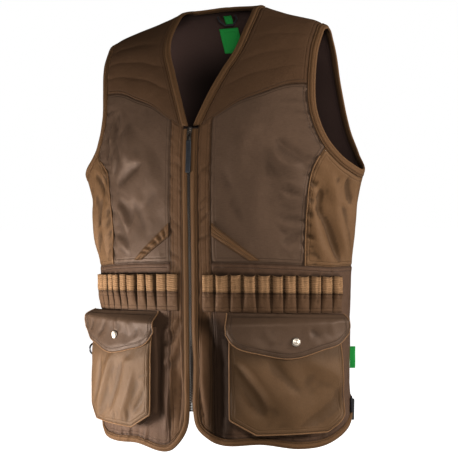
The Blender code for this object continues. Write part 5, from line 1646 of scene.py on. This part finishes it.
def backPanel():
    sides = {}
    for side in (1, -1):
        own = lines[side]
        seam = np.stack([girth(side, own["sideSeam"][:, 1]) - own["sideSeam"][:, 0],
                         own["sideSeam"][:, 1]], axis=-1)
        sides[side] = signed(joined(own["armholeBackIn"][::-1], seam), side)
    neck = backNeck(seams["neckBinding"])
    shoulders = [straight(neck[end], sides[side][0], seams["shoulderSteps"])
                 for end, side in ((0, -1), (-1, 1))]
    top = joined(shoulders[0][::-1], neck, shoulders[1])
    bottom = inset(backHem(), seams["edgeBinding"])
    bottom[0], bottom[-1] = sides[-1][-1], sides[1][-1]
    share = np.linspace(0, 1, len(bottom))
    even = np.linspace(0, 1, len(top))
    bottom = np.stack([np.interp(even, share, bottom[:, k]) for k in (0, 1)], axis=-1)
    coords = coons(top, bottom, sides[-1], sides[1])
    edge = seams["shoulderSteps"] * fine + 1
    coords[0, :edge, 1] = coords[0, -edge:, 1] = seams["ridge"]
    coords = coords[:, ::2] if coords.shape[1] % 2 else coords
    across, down, s = coords[..., 0], coords[..., 1], gloomSettings["back"]
    # painted shade inside the back, deepest round the neck and fading lower down
    deep = np.exp(-((across + s["aside"]) / s["half"]) ** 4)
    deep = deep * smooth((s["foot"] - down) / s["footFade"])
    risen = smooth((down - s["top"]) / s["topFade"])
    deep = deep * (s["least"] + (1 - s["least"]) * risen)
    clothPanel("back", "back_panel", coords, wholeBack, "back", "lower", 83, gap=0.0008,
               on=("yoke_left", "yoke_right"), innerGloom=deep, hollow=0.2)


# zip

zipSettings = dict(
    top=0.262, end=0.725, tapeInner=0.0006, tapeOuter=0.015, tapeOut=-0.002, tapeWall=0.0008,
    toothPitch=0.0042, toothLong=0.0018, toothWide=0.002, toothHigh=0.0019, toothOut=-0.0004,
    toothAside=0.0011,
    sliderDown=0.268, sliderOut=0.001, base=(0.0088, 0.0128, 0.0014),
    bridge=dict(width=0.0026, length=0.009, high=0.0042, wall=0.0016),
    axle=0.0008, axleGap=0.0003, axleInset=0.0014, lap=0.0002,
    pull=dict(width=0.0076, length=0.02, wall=0.0013, lap=0.0004, endDown=0.338, endOut=0.003,
              # two rails of (width, length, place), the gap between them, and a boss below
              rail=(0.0017, 0.0094, -0.0042), open=0.008, boss=(0.0038, 0.007, 0.0006, -0.0136)),
    sleeve=dict(width=0.0088, length=0.0532, wall=0.0032, cover=0.005, ribs=10,
                ribPitch=0.0034, rib=(0.006336, 0.0014, 0.0008)),
)


def zipTapes():
    s = zipSettings
    across = np.linspace(s["tapeInner"], s["tapeOuter"], 7)
    coords = grid(across, np.linspace(s["top"], s["end"], 200))
    cordEdge = 0.0005 * np.exp(-((coords[..., 0] - 0.0024) / 0.0008) ** 2)
    near = np.abs(coords[..., 0] - 0.0042) + 0.0012
    for side in (1, -1):
        sheetPiece(f"tape_{sideNames[side]}", f"zip_tape_{sideNames[side]}", "black_webbing",
                   front(side), coords, (s["tapeOut"] + cordEdge, s["tapeOut"] - s["tapeWall"]),
                   near, "tape", "tape")


def zipTeeth():
    s = zipSettings
    rows = []
    for side, late in ((1, 0.0), (-1, 0.5)):
        down = np.arange(s["top"] + 0.001 + late * s["toothPitch"], s["end"] - 0.001, 0.004)
        across = np.full_like(down, s["toothAside"])
        line = np.stack([across, down], axis=-1)
        rows.append(facingOf(front(side), line, s["toothOut"]))
    made = layRows("zip_teeth", rows, metals["teeth"], smoothShade=False, Pitch=s["toothPitch"],
                   Long=s["toothLong"], Wide=s["toothWide"], High=s["toothHigh"], Wander=0.02,
                   Seed=5, Square=True)
    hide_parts("zip_chain")


def boxShape(shape, size, centre, edge=0.0, segments=2):
    place = Matrix.Translation(Vector(centre)) @ Matrix.Diagonal((*size, 1.0))
    cube = bmesh.ops.create_cube(shape, size=1.0, matrix=place)
    if edge:
        edges = list({e for v in cube["verts"] for e in v.link_edges})
        bmesh.ops.bevel(shape, geom=edges, offset=edge, segments=segments, profile=0.6,
                        affect="EDGES")


def shapedMesh(name, build, turn=None, sharp=35):
    shape = bmesh.new()
    build(shape)
    mesh = bpy.data.meshes.new(name)
    shape.to_mesh(mesh)
    shape.free()
    if turn is not None:
        mesh.transform(turn)
    mesh.shade_smooth()
    mesh.set_sharp_from_angle(angle=math.radians(sharp))
    return mesh


def outlinePlate(shape, outline, low, high, edge=0.0003):
    # a flat plate from an outline, with softened edges
    bottom = [shape.verts.new((x, y, low)) for x, y in outline]
    face = shape.faces.new(bottom)
    made = bmesh.ops.extrude_face_region(shape, geom=[face])
    top = [v for v in made["geom"] if isinstance(v, bmesh.types.BMVert)]
    bmesh.ops.translate(shape, verts=top, vec=(0, 0, high - low))
    faces = {f for v in bottom + top for f in v.link_faces}
    bmesh.ops.recalc_face_normals(shape, faces=list(faces))
    sides = [e for f in faces for e in f.edges if abs(e.verts[0].co.z - e.verts[1].co.z) < 1e-7]
    if edge:
        bmesh.ops.bevel(shape, geom=list(set(sides)), offset=edge, segments=2, profile=0.6,
                        affect="EDGES")


def sliderShape(shape):
    s = zipSettings
    wide, long, high = s["base"]
    outline = [(-wide / 2, long * 0.34), (-wide * 0.3, long / 2), (wide * 0.3, long / 2),
               (wide / 2, long * 0.34), (wide / 2, -long * 0.08), (wide * 0.36, -long / 2),
               (-wide * 0.36, -long / 2), (-wide / 2, -long * 0.08)]
    outlinePlate(shape, outline, 0.0, high)
    bridge = s["bridge"]
    top = high + bridge["high"]
    half = bridge["length"] / 2
    for end in (1, -1):
        boxShape(shape, (bridge["width"], bridge["wall"], top - s["lap"]),
                 (0, end * (half - bridge["wall"] / 2), (top + s["lap"]) / 2), 0.0004)
    boxShape(shape, (bridge["width"], bridge["length"], bridge["wall"]),
             (0, 0, top - bridge["wall"] / 2), 0.0006)


def zipSlider():
    s = zipSettings
    place = frameAt(surface, 0.0, s["sliderDown"], s["sliderOut"])
    mesh = shapedMesh("slider", sliderShape, place)
    placed("slider", mesh, [metals["slider"]], node="zip_slider", slot="zip_metal")
    bridge = s["bridge"]
    height = s["base"][2] + s["lap"] + s["axleGap"] + s["axle"]
    axle = place @ Vector((0, bridge["wall"] + s["axleInset"] - bridge["length"] / 2, height))
    pull = s["pull"]
    end = Vector(surface(0.0, pull["endDown"], pull["endOut"]))
    axle.x = end.x = 0.0
    run = (end - axle).normalized()
    beside = Vector((1, 0, 0))
    axes = Matrix((beside, -run, beside.cross(-run))).transposed()
    hang = Matrix.Translation(axle) @ axes.to_4x4()
    mesh = shapedMesh("pull_tab", pullShape, hang)
    placed("pull_tab", mesh, [metals["slider"]], "zip_pull", "zip_pull_tab", "zip_metal")
    mesh = shapedMesh("puller_sleeve", sleeveShape, hang, sharp=50)
    placed("puller_sleeve", mesh, [plastics["slate"]], "zip_pull", "zip_puller", "puller_rubber")


def pullShape(shape):
    s, pull = zipSettings, zipSettings["pull"]
    turn = Matrix.Rotation(math.pi / 2, 4, "Y")
    bmesh.ops.create_cone(shape, cap_ends=True, segments=20, radius1=s["axle"], radius2=s["axle"],
                          depth=pull["width"] - pull["lap"], matrix=turn)
    rail, railLong, railAt = pull["rail"]
    for end in (1, -1):
        boxShape(shape, (rail, railLong, pull["wall"]),
                 (end * (pull["width"] / 2 - rail / 2), railAt, 0), 0.0004)
    plate = pull["length"] - pull["open"]
    boxShape(shape, (pull["width"], plate, pull["wall"]),
             (0, pull["lap"] - pull["open"] - plate / 2, 0), 0.0005)
    *size, at = pull["boss"]
    boxShape(shape, size, (0, at, pull["wall"] / 2 + 0.0001), 0.0002)


def sleeveShape(shape):
    s, sleeve = zipSettings, zipSettings["sleeve"]
    top = s["pull"]["lap"] - s["pull"]["length"] + sleeve["cover"]
    centre = top - sleeve["length"] / 2
    boxShape(shape, (sleeve["width"], sleeve["length"], sleeve["wall"]), (0, centre, 0), 0.0013, 4)
    for k in range(sleeve["ribs"]):
        y = centre - (k - (sleeve["ribs"] - 1) / 2) * sleeve["ribPitch"]
        boxShape(shape, sleeve["rib"], (0, y, sleeve["wall"] / 2), 0.0003)


# side adjusters, ring, hanger and labels

trimSettings = dict(
    strap=dict(start=0.296, end=0.42, down=0.728, width=0.024, wall=0.0014, rise=0.0012),
    slide=dict(at=(0.346, 0.741), size=(0.028, 0.036, 0.004), gap=0.0003, rail=0.0034,
               # bars: place, width, share of the height
               bars=((-0.0123, 0.0034, 0.9), (0.0, 0.003, 0.75), (0.0114, 0.005, 1.0)),
               ribs=(0.0098, 0.0113, 0.0128)),
    ring=dict(at=(-0.259, 0.641), radius=0.0105, wire=0.0015, out=0.0135,
              tab=(0.0022, 0.014, 0.0009)),
    tag=dict(down=0.652, size=(0.0012, 0.037, 0.0095), out=0.0005),
    label=dict(across=-0.0155, down=0.08, size=(0.036, 0.046), wall=0.001, inside=0.0022),
    hangerTag=dict(across=-0.011, down=0.041, size=(0.0145, 0.021), wall=0.001, inside=0.003),
    hanger=dict(half=0.017, top=0.0265, low=0.05, wire=0.0016, turn=0.625, flat=0.3, gap=0.0003),
)


def adjusters(side):
    s, name = trimSettings["strap"], sideNames[side]
    across = np.linspace(s["start"], s["end"], 61)
    down = np.linspace(s["down"] - s["width"] / 2, s["down"] + s["width"] / 2, 9)
    coords = grid(across, down)
    edge = np.minimum(coords[..., 1] - down[0], down[-1] - coords[..., 1])
    puff = 0.0003 * smooth(edge / 0.002)
    out = s["rise"] + s["wall"] + puff
    sheetPiece(f"strap_{name}", f"adjuster_strap_{name}", "black_webbing", front(side), coords,
               (out, out - s["wall"] - puff), edge + 0.0008, "webbing", "webbing")
    slide = trimSettings["slide"]
    rise = s["rise"] + s["wall"] + slide["gap"]
    spot = frameAt(surface, side * slide["at"][0], slide["at"][1], rise)
    mesh = shapedMesh(f"slide_{name}", slideShape, spot)
    placed(f"slide_{name}", mesh, [plastics["black"]], node=f"adjuster_slide_{name}",
           slot="black_plastic")


def slideShape(shape):
    # a ladder-lock frame: two rails, three bars and a lifted grip
    wide, long, high = trimSettings["slide"]["size"]
    s = trimSettings["slide"]
    for end in (1, -1):
        boxShape(shape, (wide, s["rail"], high * 0.85),
                 (0, end * (long - s["rail"]) / 2, high * 0.425), 0.0009)
    for x, thick, lift in s["bars"]:
        boxShape(shape, (thick, long - 0.002, high * lift), (x, 0, high * lift / 2), 0.0008)
    for x in s["ribs"]:
        boxShape(shape, (0.0008, long * 0.7, 0.0006), (x, 0, high + 0.0001), 0.0002)


def ringAndTag():
    ring = trimSettings["ring"]
    spot = frameAt(surface, *ring["at"], 0.0)
    angle = np.linspace(0, 2 * math.pi, 61)[:-1]
    loop = np.stack([0 * angle, ring["radius"] * np.cos(angle),
                     ring["radius"] * np.sin(angle) + ring["out"]], axis=-1)
    facing = unit(loop - np.array([0, 0, ring["out"]]))
    along = unit(np.roll(loop, -1, axis=0) - np.roll(loop, 1, axis=0))
    rings = ringsAround(loop, along, facing, ring["wire"], 14)
    mesh = tubeMesh("ring", rings, rings[..., :2], np.ones(rings.shape[:2]), closed=True, sharp=80)
    mesh.transform(spot)
    placed("ring", mesh, [plastics["black"]], node="d_ring", slot="black_plastic")

    def tabShape(shape):
        wide, long, high = ring["tab"]
        boxShape(shape, (wide, long, high), (0, 0, high / 2 + 0.0005), 0.0003)

    mesh = shapedMesh("ring_tab", tabShape, spot)
    placed("ring_tab", mesh, [plastics["webbed"]], node="d_ring_tab", slot="black_webbing")
    tag = trimSettings["tag"]
    seam = lines[1]["sideSeam"]
    across = float(np.interp(tag["down"], seam[:, 1], seam[:, 0]))
    wide, long, high = tag["size"]
    spot = frameAt(surface, across, tag["down"], tag["out"])
    y = np.linspace(-long / 2, long / 2, 25)
    # a folded tab: up one leaf, over the fold and down the other
    fold = [(-wide / 2, 0.0), (-wide / 2, high * 0.5), (-wide * 0.42, high * 0.92), (0.0, high),
            (wide * 0.42, high * 0.92), (wide / 2, high * 0.5), (wide / 2, 0.0), (0.0, 0.0004)]
    wave = 0.0005 * np.sin(y / long * 7.0)
    points = np.array([[(x + wave[k] * (z / high), yy, z) for x, z in fold]
                       for k, yy in enumerate(y)])
    cut = np.stack([points[..., 1], points[..., 2]], axis=-1)
    mesh = tubeMesh("side_label", points, cut, np.full(points.shape[:2], 0.02), sharp=40)
    mesh.transform(spot)
    made = placed("side_label", mesh, [cloths["green"]], node="side_tag", slot="green_label")


def flatLabel(name, node, setting, slot, cloth):
    wide, long = setting["size"]
    across = setting["across"] + np.linspace(-wide / 2, wide / 2, 17)
    down = setting["down"] + np.linspace(-long / 2, long / 2, 25)
    coords = grid(across, down)
    curl = 0.0006 * np.sin((coords[..., 0] - across[0]) / wide * math.pi)
    curl = curl + 0.0005 * noise(coords[..., 0] / 0.01, coords[..., 1] / 0.012, 113)
    out = -setting["inside"] - curl * 0.6
    walls = coonsWalls(coords)
    near = np.min([walls[edge] for edge in ("top", "bottom", "left", "right")], axis=0) + 0.0006
    sheetPiece(name, node, slot, wholeBack, coords, (out, out - setting["wall"]), near, cloth,
               cloth, "hung")


def neckTrims():
    flatLabel("label_square", "neck_label", trimSettings["label"], "green_label", "green")
    flatLabel("hanger_tab", "hanger_tag", trimSettings["hangerTag"], "green_label", "green")
    s = trimSettings["hanger"]
    tag = trimSettings["hangerTag"]
    share = np.linspace(-1, 1, 61)
    across = tag["across"] + s["half"] * np.sign(share) * np.minimum(1.0, np.abs(share) / s["turn"])
    climb = np.maximum(0.0, np.abs(share) - s["flat"]) / (1 - s["flat"])
    down = s["low"] - (s["low"] - s["top"]) * climb
    depth = -0.0012 - 0.0018 - tag["wall"] - s["wire"] - s["gap"]
    line = resampled(np.stack([across, down], axis=-1), 0.0012)
    points, facing = facingOf(wholeBack, line, depth)
    turns = np.arange(len(points)) * 0.55
    mesh = cordMesh("hanger_cord", points, facing, s["wire"] * (0.94 + 0.08 * np.sin(turns)), 12)
    placed("hanger_cord", mesh, [plastics["webbed"]], node="hanger_loop", slot="black_webbing")


# cloth edges that show along seams


def seamPiping():
    for side in (1, -1):
        pipingCord(f"seam_piping_{sideNames[side]}", front(side),
                   resampled(lines[side]["princess"][4:], 0.003), 0.0007, 0.0012)


def stitching():
    colours = dict(brown=metals["threadDark"], khaki=metals["threadKhaki"])
    for kind, rows in rowsWanted.items():
        layRows(f"stitches_{kind}", rows, colours[kind], Pitch=0.0031, Long=0.0025, Wide=0.00055,
                High=0.0005, Wander=0.05, Seed=11)


for side in (1, -1):
    frontPanels(side)
backPanel()
print("panels made")
bindings()
seamPiping()
print("bindings made")
for side in (1, -1):
    welts(side)
    for strip in loopSettings["strips"]:
        loopStrip(side, strip)
    pockets(side)
    flaps(side)
    adjusters(side)
print("loops, pockets and adjusters made")
zipTapes()
zipTeeth()
zipSlider()
ringAndTag()
neckTrims()
print("zip and trims made")
stitching()
print("stitches laid")

# camera at the photograph's angle
view = dict(azimuth=24.0, elevation=0.8, distance=2.0, target=(0.0, 0.0, -0.375), lens=90.39,
            roll=0.7, shift=2.0 / 458)


def addCamera():
    a, e = math.radians(view["azimuth"]), math.radians(view["elevation"])
    back = Vector((math.sin(a) * math.cos(e), -math.cos(a) * math.cos(e), math.sin(e)))
    right = Vector((math.cos(a), math.sin(a), 0.0))
    up = back.cross(right)
    r = math.radians(view["roll"])
    turned = (right * math.cos(r) - up * math.sin(r), right * math.sin(r) + up * math.cos(r), back)
    data = bpy.data.cameras.new("photoCamera")
    data.lens = view["lens"]
    data.sensor_width = 36.0
    data.shift_x = view["shift"]
    camera = linked("photoCamera", data)
    matrix = Matrix(turned).transposed().to_4x4()
    matrix.translation = Vector(view["target"]) + back * view["distance"]
    camera.matrix_world = matrix
    scene.camera = camera


lights = (
    dict(name="keyLow", at=(-0.72, -0.44, -0.72), aim=(-0.02, 0.0, -0.64), size=0.26, power=14.0),
    dict(name="frontSoft", at=(1.32, -2.02, 0.42), aim=(0.0, 0.0, -0.4), size=0.42, power=47.0),
    dict(name="rightRim", at=(1.9, 0.35, -0.05), aim=(0.1, 0.0, -0.4), size=0.35, power=40.0),
)


def addStudio():
    for light in lights:
        data = bpy.data.lights.new(light["name"], "AREA")
        data.size = light["size"]
        data.energy = light["power"]
        lamp = linked(light["name"], data)
        away = Vector(light["at"]) - Vector(light["aim"])
        lamp.matrix_world = Matrix.Translation(light["at"]) @ away.to_track_quat(
            "Z", "Y").to_matrix().to_4x4()
    world = bpy.data.worlds.new("studioAir")
    world.use_nodes = True
    tree, white = world.node_tree, (1.0, 1.0, 1.0, 1.0)
    # the backdrop is white to the camera and dim to the cloth
    dim = fillInputs(tree.nodes["Background"], dict(Color=white, Strength=0.035)).outputs[0]
    bright = addNode(tree, "ShaderNodeBackground", dict(Color=white, Strength=1.0)).outputs[0]
    seen = addNode(tree, "ShaderNodeLightPath").outputs["Is Camera Ray"]
    mixed = addNode(tree, "ShaderNodeMixShader", {0: seen, 1: dim, 2: bright}).outputs[0]
    fillInputs(tree.nodes["World Output"], {0: mixed})
    scene.world = world
    paint, tree, shader = newMaterial("paleFloor", (0.6, 0.6, 0.6))
    # it shines white to the camera alone
    eye = addNode(tree, "ShaderNodeLightPath").outputs["Is Camera Ray"]
    fillInputs(shader, {"Base Color": (0.6, 0.6, 0.6, 1), "Roughness": 0.9,
                        "Emission Color": white, "Emission Strength": eye})
    mesh = shapedMesh("floor", floorShape)
    mesh.materials.append(paint)
    linked("floor", mesh)


def floorShape(shape):
    bmesh.ops.create_grid(shape, x_segments=2, y_segments=2, size=30.0,
                          matrix=Matrix.Translation((0, 0, -0.86)))


addCamera()
addStudio()
print("camera and light placed")
